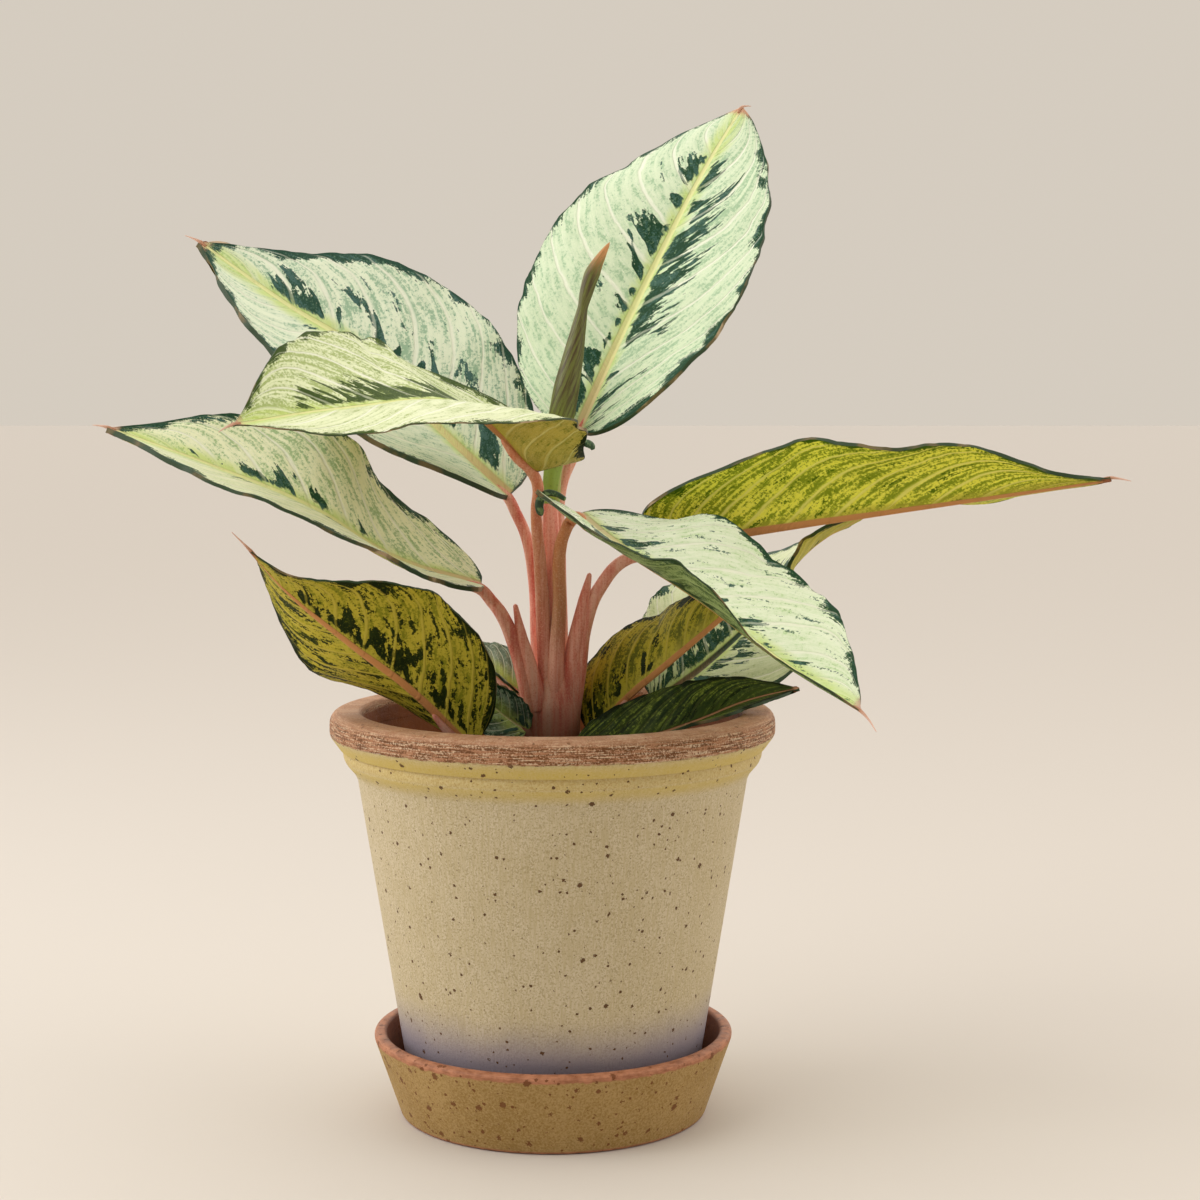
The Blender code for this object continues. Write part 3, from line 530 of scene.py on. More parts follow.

# In millimetres. The midrib runs from base to tip. face is where the upper side looks, at the base, the
# middle and the tip. lift is how far each half folds up there, in degrees, and curl how much more its margin
# rises. wave is the ripple's height, number and phase. For the left and the right half: lobe, how far it
# reaches back past the base (along lobe_way, if given); feather, the share of it that the dark feather takes;
# cover, how much of the midrib that follows; strokes, clumps (0) or strokes (1); islands, the patches outside
# it; margin, the margin's patches; mottle, the ground's; sweep, how far the side veins sweep to the tip.
# upper and under are a side's own colours, and several of them also carry painted shade and painted light, as
# marked. What a blade doesn't give is as in PLAIN_BLADE.
PLAIN_BLADE = dict(
    peak=0.4, curl=(0, 0), wave=(0, 2, 0), lobe=(0, 0), strokes=(0, 0), sweep=(0.3, 0.3))
LEAVES = {
    "leaf_top_right": dict(
        midrib=[(9, 7, 246), (23, 18, 277), (38, 27, 308), (54, 37, 339), (70, 52, 366)],
        face=[(-0.2, -0.9, 0.4), (-0.1, -0.9, 0.4), (-0.2, -0.9, 0.4)], half=(44, 42), peak=0.43, tip=0.76,
        lift=[(19, 15, -4), (30, 22, 5)], curl=(-38, 4), wave=(1.4, 3.5, 0.2), lobe=(3, 3),
        feather=(0.26, 0.25), cover=(0.75, 0.82), strokes=(0.3, 0.7), islands=(0.02, 0), margin=(2, 3.2),
        mottle=(0.5, 0.56), sweep=(0.2, 0.34), upper=dict(Green=(0.36, 0.56, 0.34))),
    # This blade's face turns from the lamps: its pale mint upper side is painted brighter than the others' as
    # painted light
    "leaf_upper_left": dict(
        midrib=[(-16, 12, 223), (-42, 19, 247), (-69, 24, 274), (-99, 27, 293), (-130, 31, 315)],
        face=[(0.2, -0.7, 0.6), (0, -0.8, 0.5), (0, -0.8, 0.5)], half=(40, 40), peak=0.35, tip=1.03,
        lift=[(34, 20, 13), (23, 18, 10)], curl=(21, -4), wave=(1.2, 3, 0), lobe=(2, 2), feather=(0.12, 0.38),
        cover=(0.4, 0.62), strokes=(0.2, 0), islands=(0.04, 0.07), margin=(2.8, 3.4), mottle=(0.42, 0.62),
        sweep=(0.26, 0.24), upper=dict(Ground=(0.86, 0.95, 0.74), Green=(0.3, 0.5, 0.33),
        Dark=(0.028, 0.08, 0.052), Dusk=(0.085, 0.18, 0.165))),
    "leaf_mid_left": dict(
        midrib=[(-6, -14.5, 234), (-18, -25, 247), (-32, -50, 257), (-67, -73, 255), (-99, -96, 250)],
        face=[(-0.1, -0.3, 0.9), (0.2, 0, 1), (0.4, -0.3, 0.9)], half=(43, 43), peak=0.52, tip=1.1,
        lift=[(13, 8, 21), (17, 11, 38)], curl=(-19, 19), wave=(1.4, 3, 0.3), lobe=(32, 4),
        lobe_way=(0.82, 0.5, 0.28), feather=(0.05, 0.26), cover=(0.2, 0.92), strokes=(1, 0.7),
        islands=(0, 0.03), margin=(1.6, 3), mottle=(0.4, 0.68), upper=dict(Ground=(0.82, 0.89, 0.58),
        Green=(0.36, 0.46, 0.14), Dark=(0.045, 0.085, 0.012), Dusk=(0.09, 0.14, 0.035),
        Tip=(0.72, 0.45, 0.32)), under=dict(Ground=(0.48, 0.37, 0.07), Green=(0.15, 0.17, 0.012),
        Vein=(0.66, 0.58, 0.2))),
    "leaf_low_left": dict(
        midrib=[(-25, -6, 192), (-55, -13, 202), (-83, -22, 220), (-118, -25, 235), (-153, -26, 248)],
        face=[(-0.1, -0.3, 1), (-0.2, -0.4, 0.9), (-0.1, -0.4, 0.9)], half=(35, 35), peak=0.45, tip=1.04,
        lift=[(12, 22, 20), (12, 24, 20)], curl=(1, 4), wave=(1, 3, 0.5), lobe=(2, 2), feather=(0.08, 0.16),
        cover=(0.45, 0.5), strokes=(0.5, 0.5), islands=(0.01, 0.04), margin=(3, 2.8), mottle=(0.2, 0.6),
        sweep=(0.26, 0.26), upper=dict(Ground=(0.92, 0.96, 0.66), Green=(0.32, 0.5, 0.22),
        Tip=(0.74, 0.45, 0.32))),
    "leaf_left_rim": dict(
        midrib=[(-28, -31, 137), (-48, -34, 158), (-68, -42, 175), (-87, -53, 193), (-98, -67, 208)],
        face=[(0.6, 0.8, 0.2), (0.5, 0.8, 0), (0.7, 0.7, -0.1)], half=(33, 31), peak=0.37, tip=1.04,
        lift=[(32, 12, 8), (39, 14, 12)], curl=(-3, 18), wave=(1.2, 2.5, 0.1), feather=(0.26, 0.12),
        cover=(0.85, 0.6), strokes=(0, 0.1), islands=(0.15, 0.17), margin=(4.4, 3.4), mottle=(0.66, 0.62),
        sweep=(0.26, 0.26), under=dict(Ground=(0.5, 0.42, 0.04), Green=(0.19, 0.2, 0.01),
        Vein=(0.53, 0.44, 0.06))),
    "leaf_right": dict(
        midrib=[(48, -1, 207), (83, -9, 213), (119, -18, 219), (155, -29, 225), (191, -38, 231)],
        face=[(0, 0.8, 0.6), (0, 0.7, 0.7), (0, 0.7, 0.7)], half=(34, 35), tip=1.1,
        lift=[(50, 50, 30), (19, 14, 8)], curl=(0, -18), wave=(3, 2.5, 0.1), lobe=(4, 34),
        feather=(0.08, 0.06), cover=(0.3, 0.2), strokes=(1, 1), islands=(0.06, 0.09), margin=(1.2, 1.4),
        mottle=(0.7, 0.8), sweep=(0.3, 0.34), under=dict(Ground=(0.86, 0.84, 0.08), Green=(0.16, 0.24, 0.003),
        Dark=(0.045, 0.1, 0.003), Dusk=(0.09, 0.16, 0.004), Vein=(0.88, 0.84, 0.2))),
    "leaf_front_right": dict(
        midrib=[(9.5, -13, 218), (24, -38, 208), (51, -56, 191), (77, -73, 172), (100, -95, 159)],
        face=[(0.4, -0.5, 0.7), (0.4, -0.3, 0.8), (0.3, -0.5, 0.8)], half=(38, 37), peak=0.44, tip=0.82,
        lift=[(12, 18, 32), (10, 27, 27)], curl=(9, 10), wave=(1.2, 2.5, 0.4), lobe=(0, 14),
        feather=(0.22, 0.32), cover=(0.62, 0.7), strokes=(0.5, 0.2), islands=(0.1, 0.1), margin=(2.6, 2),
        mottle=(0.36, 0.7), sweep=(0.24, 0.24), upper=dict(Ground=(0.87, 0.96, 0.74),
        Green=(0.48, 0.68, 0.32), Tip=(0.7, 0.48, 0.38)), under=dict(Ground=(0.28, 0.38, 0.14),
        Green=(0.055, 0.11, 0.025), Vein=(0.32, 0.42, 0.16), Dark=(0.022, 0.05, 0.012),
        Dusk=(0.07, 0.13, 0.08), Halo=(0.2, 0.24, 0.04), Rib=(0.62, 0.32, 0.12))),
    "leaf_right_rim": dict(
        midrib=[(15, 0, 137), (26, -3, 150), (41, -11, 164), (56, -18, 178), (71, -25, 192)],
        face=[(0, 0.9, 0.3), (0.2, 1, 0.2), (0.1, 1, 0.3)], half=(16, 25), peak=0.38, tip=0.92,
        lift=[(80, 85, 85), (10, 35, 20)], curl=(0, 50), wave=(1, 2, 0), feather=(0.1, 0.22),
        cover=(0.3, 0.6), islands=(0.02, 0.08), margin=(2, 3.2), mottle=(0.7, 0.74), sweep=(0.26, 0.26),
        under=dict(Ground=(0.43, 0.37, 0.025), Green=(0.07, 0.09, 0.004), Vein=(0.5, 0.42, 0.06))),
    "leaf_back_right": dict(
        midrib=[(37, 11, 147), (58, 19, 162), (76, 30, 178), (93, 31, 201), (116, 25, 217)],
        face=[(0.3, -0.6, 0.7), (0.1, -0.2, 1), (0.1, -0.1, 1)], half=(36, 36), peak=0.39, tip=0.88,
        lift=[(18, 9, -14), (16, 13, 18)], curl=(-3, 5), wave=(1, 2, 0.5), feather=(0.25, 0.15),
        cover=(1, 0.9), strokes=(0.8, 1), islands=(0.02, 0), margin=(4, 1.4), mottle=(0.3, 0.3),
        sweep=(0.26, 0.2), upper=dict(Ground=(0.8, 0.88, 0.58), Green=(0.42, 0.54, 0.2),
        Rib=(0.05, 0.09, 0.06))),
    # This blade lies in the shade of the blade above it: its upper colours are its own dark green, made near
    # black with painted shade
    "leaf_dark_rim": dict(
        midrib=[(8, -14, 133), (29, -16, 137), (50, -17, 144), (69, -13, 151), (88, -8, 155)],
        face=[(0, -0.9, 0.5), (0, -0.8, 0.6), (0, -0.9, 0.5)], half=(16, 13), tip=0.95,
        lift=[(8, 8, 5), (50, 62, 45)], wave=(0.8, 2, 0), feather=(0.2, 0.2), cover=(0.6, 0.6),
        strokes=(0.5, 0.5), islands=(0, 0), margin=(2, 2), mottle=(0.5, 0.5),
        upper=dict(Ground=(0.01, 0.028, 0.005), Green=(0.22, 0.29, 0.04), Dark=(0.006, 0.014, 0.001),
        Dusk=(0.014, 0.028, 0.003), Vein=(0.055, 0.065, 0.015), Halo=(0.05, 0.08, 0.01),
        Rib=(0.42, 0.22, 0.12))),
    # Deep in the crown: this blade's pale mint upper side is painted grey-green as painted shade
    "leaf_small_back": dict(
        midrib=[(-12, 9, 151), (-20, 14, 157), (-30, 20, 161), (-41, 26, 164)],
        face=[(0, -0.3, 1)] * 3, half=(11, 11), tip=0.9,
        lift=[(40, 40, 30)] * 2, feather=(0.08, 0.08), cover=(0.4, 0.4), islands=(0.03, 0.03),
        margin=(0.8, 0.8), mottle=(0.6, 0.6), upper=dict(Ground=(0.26, 0.33, 0.25),
        Green=(0.12, 0.18, 0.13))),
    # Deep in the crown: this blade's pale mint upper side is painted darker as painted shade
    "leaf_small_low": dict(
        midrib=[(-9, -6, 139), (-18, -10, 146), (-26, -13, 154), (-32, -15, 163)],
        face=[(-0.3, -0.9, 0.2)] * 3, half=(10, 10), tip=0.9,
        lift=[(20, 20, 20)] * 2, feather=(0.2, 0.2), cover=(0.7, 0.7), islands=(0.08, 0.08),
        margin=(1.2, 1.2), mottle=(0.85, 0.85), upper=dict(Ground=(0.3, 0.42, 0.32),
        Green=(0.04, 0.09, 0.05))),
}
# Each side's relief, roughness and shine, and its colours where a blade has none of its own
SIDES = {
    "upper": (-0.4 * MM, 0.4, 0.14, dict(
        Ground=(0.74, 0.87, 0.62), Green=(0.32, 0.52, 0.3), Dark=(0.016, 0.062, 0.028),
        Dusk=(0.065, 0.15, 0.125), Vein=(0.95, 0.98, 0.82), Halo=(0.62, 0.77, 0.2), Rib=(0.84, 0.86, 0.42),
        Tip=(0.66, 0.38, 0.24))),
    # The under side's yellow-olive is partly the blades' own colour and partly painted light shining through
    # the thin blade; the under colours that blades give for themselves carry it too
    "under": (0.5 * MM, 0.46, 0.07, dict(
        Ground=(0.46, 0.42, 0.05), Green=(0.13, 0.14, 0.006), Dark=(0.008, 0.016, 0.002),
        Dusk=(0.022, 0.034, 0.004), Vein=(0.6, 0.53, 0.1), Halo=(0.46, 0.4, 0.05), Rib=(0.56, 0.26, 0.09),
        Tip=(0.34, 0.13, 0.06))),
}
MARGIN_DARK, MARGIN_BROWN, MARGIN_PALE = (0.03, 0.06, 0.025), (0.16, 0.12, 0.05), (0.46, 0.33, 0.2)


def route_curve(points, radii=None):
    """A smooth curve through points in millimetres."""
    curve = bpy.data.curves.new("route", "CURVE")
    curve.dimensions = "3D"
    curve.resolution_u = 24
    spline = curve.splines.new("BEZIER")
    spline.bezier_points.add(len(points) - 1)
    for index, (knot, point) in enumerate(zip(spline.bezier_points, points)):
        knot.co = Vector(point[:3]) * MM
        knot.handle_left_type = knot.handle_right_type = "AUTO"
        if radii:
            knot.radius = radii[index] * MM
    return stand("route", curve)


def mix_vector(share, first, second):
    return put("ShaderNodeMix", {0: share, 4: first, 5: second}, 1, data_type="VECTOR")


def mix_number(share, first, second):
    return put("ShaderNodeMix", {0: share, 2: first, 3: second}, 0, data_type="FLOAT")


def keyed(mix, share, base, middle, tip):
    """The value between three keys, at the base, the middle and the tip."""
    to_middle = put("ShaderNodeClamp", {"Value": share * 2})
    to_tip = put("ShaderNodeClamp", {"Value": share * 2 - 1})
    return mix(to_tip, mix(to_middle, base, middle), tip)


def on_side(right_half, pair):
    """A pair's first value on the left half of a blade, its second on the right."""
    left, right, _ = pair.parts()
    return mix_number(right_half, left, right)


def store(mesh, name, value, kind, domain="POINT"):
    """The mesh, with a value kept on it under a name."""
    inputs = {"Name": name, "Value": value}
    return geo("StoreNamedAttribute", mesh, inputs, data_type=kind, domain=domain)


def sheet_grid(along, across):
    """A flat grid, and where each point lies along it, from 0 to 1, and across it, from -0.5 to 0.5."""
    grid = geo("MeshGrid", 1, {"Size Y": 1, "Vertices X": along, "Vertices Y": across})
    x, y, _ = put("GeometryNodeInputPosition", {}).parts()
    return grid, x + 0.5, y


blade_tree, given, result = new_tree("leaf_blade", "GeometryNodeTree", {
    "Object": "Midrib", "Int": "Cells Along, Cells Across",
    "Float": "Peak, Tip Power, Bulk, Veins, Quilt, Ragged, Crimp, Seed",
    "Vector": "Half Width, Face Base, Face Middle, Face Tip, Left Lift, Right Lift, Curl, Wave, Lobe, "
              "Lobe Way, Sweep",
    "Material": "Upper, Under, Edge"}, {"Geometry": "Blade"})
grid, even, gy = sheet_grid(given.cells_along, given.cells_across)
along = (even + 0.5 - (even * math.pi).reckon("COSINE") * 0.5) * 0.5
out = (gy * 2).reckon("ABSOLUTE") ** 1.5
outward = (gy * -1).reckon("SIGN")
right_half = outward.reckon("GREATER_THAN", 0.0)
midrib = geo("ObjectInfo", given.midrib, output="Geometry")
sample = place("GeometryNodeSampleCurve", {"Curves": midrib, "Factor": along}, mode="FACTOR")
spot, heading = wires(sample, "Position", "Tangent")
face = keyed(mix_vector, along, given.face_base, given.face_middle, given.face_tip)
up = (face - heading * heading.reckon("DOT_PRODUCT", face, output="Value")).reckon("NORMALIZE")
right = heading.reckon("CROSS_PRODUCT", up)
to_peak = (((given.peak - along) / given.peak) ** 2 * -1 + 1).at_least(0).reckon("SQRT")
past = ((along - given.peak) / (given.peak * -1 + 1)).at_least(0)
to_tip = (past * (math.pi / 2)).reckon("COSINE").at_least(0) ** given.tip_power
before_peak = along.reckon("LESS_THAN", given.peak)
width = mix_number(before_peak, to_tip, to_peak).at_least(NARROWEST)
side_seed = given.seed + right_half * 5
notch = noise(vector(along * 13, side_seed, out * 0.6), 1, 3) - 0.5
full = on_side(right_half, given.half_width) * width * (notch * given.ragged * (along + 0.4) + 1)
reach = full * out
forward = along - on_side(right_half, given.sweep) * (out * 0.8 + out ** 4 * 0.45)
lift = keyed(mix_number, along, *mix_vector(right_half, given.left_lift, given.right_lift).parts())
angle = (lift + on_side(right_half, given.curl) * out * 0.5) * math.radians(1)
height, count, phase = given.wave.parts()
bulge = (along * math.pi).reckon("SINE").at_least(0) ** 0.5
ripple = ((count * along + phase + right_half * WAVE_SHIFT) * math.tau).reckon("SINE")
ripple = ripple * height * out * out * bulge
quilt = (forward * given.veins * math.tau).reckon("COSINE") * given.quilt
quilt = quilt * (out * out * -1 + out * 1.6) * bulge
groove = (reach / GROOVE_HALF).bell() * GROOVE_DEPTH * (along * -1 + 1)
back = on_side(right_half, given.lobe) * (width - NARROWEST) ** 0.5 * out ** 3
back = back * (along / -LOBE_END + 1).at_least(0)
crimp = noise(vector(along * 10, side_seed + 30, out)) - 0.5
crimp = crimp * given.crimp * out ** 3 * bulge
rise = reach * angle.reckon("SINE") + ripple + crimp - quilt - groove
own_way = given.lobe_way
lobe_way = own_way + heading * (own_way.length() - 1)
point = spot + right * (reach * angle.reckon("COSINE") * outward) + up * rise + lobe_way * back
# The map on the blade, and how each point lies to the veins, the midrib and the edge
grid = store(grid, "blade", vector(along, out * outward * 0.5 + 0.5), "FLOAT2", "CORNER")
grid = store(grid, "lie", vector(forward, reach, full - reach), "FLOAT_VECTOR")
upper = geo("SetPosition", grid, {"Position": point})
ridge = (reach / RIDGE_HALF / given.bulk).bell() * given.bulk
ridge = ridge * ((along / -0.12).reckon("EXPONENT") * 0.6 - along * 0.8 + 1)
depth = ridge * (RIDGE_THICKNESS - BLADE_THICKNESS) + BLADE_THICKNESS
upper = store(upper, "down", put("GeometryNodeInputNormal", {}) * depth * -1, "FLOAT_VECTOR")
inputs = {"Mesh": upper, "Offset Scale": 0, "Individual": False}
lower = place("GeometryNodeExtrudeMesh", inputs, mode="FACES")
mesh, top, side = wires(lower, "Mesh", "Top", "Side")
stored = geo("InputNamedAttribute", "down", data_type="FLOAT_VECTOR")
lower = geo("SetPosition", mesh, {"Selection": top, "Offset": stored})
lower = geo("SetMaterial", lower, {"Selection": top, "Material": given.under})
lower = geo("SetMaterial", lower, {"Selection": side, "Material": given.edge})
lower = geo("FlipFaces", lower)
whole = place("GeometryNodeJoinGeometry", {})
for half in (lower, upper):
    plug(whole.inputs[0], half)
blade = geo("MergeByDistance", Wire(whole.outputs[0]), {"Distance": BLADE_WELD})
blade = geo("RemoveAttribute", blade, {"Name": "down"})
turning = put("GeometryNodeInputMeshEdgeAngle", {})
crease = put("FunctionNodeCompare", {"A": turning, "B": math.radians(SHARP_EDGE)}, operation="GREATER_THAN")
blade = geo("SetShadeSmooth", blade, {"Shade Smooth": True})
blade = geo("SetShadeSmooth", blade, {"Selection": crease, "Shade Smooth": False}, domain="EDGE")
blade = geo("RealizeInstances", blade)
painted = dict(enumerate(geo("MaterialSelection", finish) for finish in (given.under, given.edge)))
bare = put("FunctionNodeBooleanMath", painted, operation="NOR")
blade = geo("SetMaterial", blade, {"Selection": bare, "Material": given.upper})
plug(result.inputs["Blade"], blade)


def drawn(along, across, seed, detail, roughness=0.5):
    """Noise on the open blade, by how finely it is cut up along the blade and across it."""
    return noise(vector(run * along, from_rib * across, seed), 1, detail, roughness)


# How the colours are laid out on a blade, along the side veins that leave the midrib and bend to the tip
leaf_markings, given, result = new_tree("leaf_markings", "ShaderNodeTree", {
    "Vector": "Blade, Lie, Where, Feather, Cover, Strokes, Margin, Mottle, Islands", "Float": "Length, Seed",
    "Color": "Ground, Green, Dark, Dusk, Vein, Halo, Rib, Tip"}, {"Color": "Colour", "Float": "Relief, Dull"})
along, v, _ = given.blade.parts()
right_half = v.reckon("GREATER_THAN", 0.5)
forward, from_rib, from_edge = given.lie.parts()
half_here = from_rib + from_edge
seed = given.seed + right_half * 3.7
run = forward * given.length
streak = drawn(620, 130, seed, 4, 0.66)
wide = drawn(280, 100, seed + 3, 3, 0.6)
blot = drawn(230, 190, seed + 5, 4, 0.62)
cloud = drawn(330, 150, seed + 9, 3, 0.6)
fine = drawn(2400, 120, seed, 2, 0.5)
grain = noise(given.where, 900, 4, 0.72)
crumb = noise(given.where + 0.3, 2000, 3, 0.7)
patches = noise(given.where, 75, 2, 0.5)
vein_phase = (forward * VEINS_PER_BLADE + (cloud - 0.5) * 0.18).reckon("FRACT")
vein_gap = (vein_phase - 0.5).reckon("ABSOLUTE") * -1 + 0.5
vein = vein_gap.ramp(0.07, 0.018)
gate = drawn(95, 45, seed + 20, 1.5) - 0.725
gate = (gate + on_side(right_half, given.cover) * 0.45).ramp(0, 0.1) * along.ramp(0.9, 0.78)
strokes = on_side(right_half, given.strokes)
clumps = (blot - 0.5) * 7 + (grain - 0.5) * 2.5 - vein * 0.8
jag = mix_number(strokes, clumps, (streak - 0.5) * 6 + (wide - 0.5) * 7)
extent = on_side(right_half, given.feather) * half_here * gate * FEATHER_REACH
rib_half = (along * -0.78 + 1) * given.length * RIB_GROWTH * RIB_HALF
feather = ((extent - from_rib) / FEATHER_EDGE + jag + (gate - 1) * 2.2).ramp(0, 0.15)
feather = feather * (from_rib - rib_half + (blot - 0.6) * 0.008).ramp(0, 0.001)
rim = on_side(right_half, given.margin) * patches.ramp(0.4, 0.62, 0.05, 1.3)
rim = ((rim - from_edge) / 0.0018 + (grain - 0.5) * 4 + (streak - 0.5) * 5).ramp(0, 0.2)
islands = (on_side(right_half, given.islands) + (blot * 0.6 + grain * 0.4) - 0.68).ramp(0, 0.012)
dark = feather.at_least(rim).at_least(islands * vein_gap.ramp(0.02, 0.12))
mottle = on_side(right_half, given.mottle)
flecks = (grain - 0.5) + (crumb - 0.5) * 0.5 + (cloud - 0.5) * 0.9 + (mottle - 0.7) * 0.4
flecks = flecks.ramp(0, 0.06) * vein_gap.ramp(0.015, 0.13, 0.1, 1) * mottle.ramp(0, 0.15)
# The dark marks: deep green, with bluish-grey patches that are a painted sheen, and a few green flecks
night = layers(
    given.dark, ((blot * 0.6 + crumb * 0.4).ramp(0.48, 0.58) * 0.8, given.dusk),
    (grain.ramp(0.56, 0.64) * 0.35, given.green))
halo = (from_rib + (cloud - 0.5) * 0.004).ramp(0.0058, 0.0012)
rib = (from_rib / rib_half).ramp(1.25, 0.75)
rib_colour = layers(given.rib, ((along + (fine - 0.5) * 0.5).ramp(0.35, 0.05) * 0.5, given.tip))
line = (from_edge - patches.ramp(0.42, 0.56) * 0.0009).ramp(0.0002, -0.0001)
colour = layers(
    given.ground, ((cloud * 0.7 + grain * 0.3).ramp(0.4, 0.62) * 0.42, given.green),
    ((fine * 0.4 + crumb * 0.6).ramp(0.5, 0.6) * 0.4, given.vein), (flecks * 0.8, given.green),
    (vein * 0.75, given.vein), (halo * blot.ramp(0.35, 0.55, 0.35, 0.75), given.halo),
    (dark * (vein * -0.35 + 1), night), (rib, rib_colour), (line * 0.85, given.dark),
    ((along + (grain - 0.5) * 0.03).ramp(0.965, 0.992), given.tip))
plug(result.inputs["Colour"], colour)
plug(result.inputs["Relief"], vein + rib * 1.5 + fine * 0.3 + grain * 0.4)
plug(result.inputs["Dull"], grain.ramp(0.35, 0.65) * 0.7 + dark * 0.3)


def pair(values, unit=1.0):
    """A left and a right value as a vector."""
    return (values[0] * unit, values[1] * unit, 0)


def leaf_finish(name, side, leaf, seed, length):
    """One side of a blade: the markings, the relief of its veins, and its wax."""
    finish, where = new_finish(f"{name}_{side}")
    relief, gloss, shine, colours = SIDES[side]
    inputs = dict(
        Blade=put("ShaderNodeUVMap", {}, uv_map="blade"),
        Lie=put("ShaderNodeAttribute", {}, "Vector", attribute_name="lie"),
        Where=where, Length=length, Seed=seed, Margin=pair(leaf["margin"], MM),
        **{**colours, **leaf.get(side, {})})
    for key in ("feather", "cover", "strokes", "islands", "mottle"):
        inputs[key.capitalize()] = pair(leaf[key])
    marks = place("ShaderNodeGroup", inputs, node_tree=leaf_markings)
    colour, veins, dull = wires(marks, "Colour", "Relief", "Dull")
    coat(colour, dull.ramp(0, 1, gloss, gloss + DULLER), shine, veins, relief, 0.6)
    return finish


edge_finish, where = new_finish("leaf_margin")
patches = noise(where, 70, 3)
edge = layers(MARGIN_DARK, (patches.ramp(0.5, 0.6), MARGIN_BROWN), (patches.ramp(0.62, 0.68), MARGIN_PALE))
coat(edge, 0.5, 0.3)
for number, (name, own) in enumerate(LEAVES.items()):
    leaf = {**PLAIN_BLADE, **own}
    midrib = route_curve(leaf["midrib"])
    length = sum((Vector(a) - Vector(b)).length for a, b in zip(leaf["midrib"], leaf["midrib"][1:])) * MM
    seed = 10.0 * number
    upper, under = (leaf_finish(name, side, leaf, seed, length) for side in SIDES)
    face_base, face_middle, face_tip = leaf["face"]
    height, count, phase = leaf["wave"]
    mesh = grow(blade_tree, {
        "Midrib": midrib, "Cells Along": CELLS_ALONG + 1, "Cells Across": CELLS_ACROSS + 1,
        "Half Width": pair(leaf["half"], MM), "Peak": leaf["peak"], "Tip Power": leaf["tip"],
        "Face Base": face_base, "Face Middle": face_middle, "Face Tip": face_tip,
        "Left Lift": leaf["lift"][0], "Right Lift": leaf["lift"][1], "Curl": pair(leaf["curl"]),
        "Wave": (height * MM, count, phase), "Lobe": pair(leaf["lobe"], MM),
        "Lobe Way": Vector(leaf.get("lobe_way", (0, 0, 0))).normalized(), "Bulk": length * RIB_GROWTH,
        "Sweep": pair(leaf["sweep"]), "Veins": VEINS_PER_BLADE, "Quilt": QUILT, "Ragged": RAGGED,
        "Crimp": CRIMP, "Seed": seed, "Upper": upper, "Under": under, "Edge": edge_finish})
    bpy.data.objects.remove(midrib, do_unlink=True)
    settle(name + "_blade", mesh, name, name)


# The stem: a short cane that stands in the soil, with the fleshy pink leaf stalks that wrap it at the foot.
# Each stalk has a channel on its inner side and grew up into the midrib of its blade. Two sheath tips stand
# free.
TUBE_RINGS, TUBE_SIDES, TUBE_WELD, CHANNEL, CHANNEL_HALF = 72, 28, 0.000005, 0.14, 0.09
# In millimetres: where a stalk bends into its blade, its radius there, how far below the blade's middle it
# ends, and how far it goes on under the blade as its midrib, with the radius that it still has there
STALK_BEND, STALK_END, STALK_SINK = 6.0, 2.1, 2.0
MIDRIB_SINK, MIDRIB_RUN = 0.75, ((8, 1.7), (18, 0.8))
ROSE, ROSE_DEEP, BLUSH = (0.76, 0.225, 0.155), (0.52, 0.07, 0.055), (0.92, 0.54, 0.41)
STALK_BROWN, STALK_ORANGE, CROWN_DARK = (0.4, 0.21, 0.09), (0.62, 0.27, 0.09), (0.14, 0.06, 0.035)
# The stalks' routes from the crown as (x, y, z, radius), in millimetres, and how brown each is
STALKS = {
    "leaf_top_right": ([(2, 4, 124, 4.5), (2, 4, 140, 4.2), (2.5, 6, 170, 3.0), (2.5, 7, 200, 2.2),
                        (3.2, 7, 226, 1.9)], 0.0),
    "leaf_upper_left": ([(-3, 4, 124, 4.5), (-3, 4, 138, 4.2), (-5.5, 6, 168, 3.0), (-7, 9, 192, 2.4),
                         (-10, 11, 208, 2.2)], 0.0),
    "leaf_mid_left": ([(-1, -1, 124, 4.5), (-1, -1, 138, 4.2), (-3, -3, 170, 3.0), (-4.5, -6, 200, 2.4),
                       (-5.7, -10.5, 218, 2.1)], 0.6),
    "leaf_low_left": ([(-3.5, -2, 124, 4.8), (-4.5, -2.5, 140, 4.6), (-8.6, -4, 155, 3.7),
                       (-13, -5, 169, 2.7), (-18, -6, 181, 2.4)], 0.1),
    "leaf_left_rim": ([(-3, -4, 131, 2.8), (-12, -14, 131, 2.2)], 0.3),
    "leaf_right": ([(5, 0, 124, 4.8), (5, 0, 138, 4.6), (8.5, -2, 160, 3.6), (11.5, -3, 178, 3.0),
                    (16.5, -3, 190, 2.6), (27, -3, 201, 2.4)], 0.25),
    "leaf_front_right": ([(2, -3, 124, 4.5), (1.2, -4, 150, 3.6), (1.6, -5, 168, 2.9), (2.6, -6, 184, 2.5),
                          (3.1, -7.5, 206, 2.3), (5.2, -9.5, 212, 2.1)], 1.0),
    "leaf_right_rim": ([(4, 0, 133, 2.8), (9, 1, 134, 2.2)], 0.2),
    "leaf_back_right": ([(5, 3, 133, 2.8), (18, 8, 137, 2.2)], 0.2),
    "leaf_dark_rim": ([(3, -5, 130, 2.8), (5, -10, 130, 2.2)], 0.2),
    "leaf_small_back": ([(-4, 4, 134, 2.8), (-8, 7, 144, 2.2)], 0.4),
    "leaf_small_low": ([(-2, -2, 132, 2.8), (-5, -4, 135, 2.2)], 0.3),
}
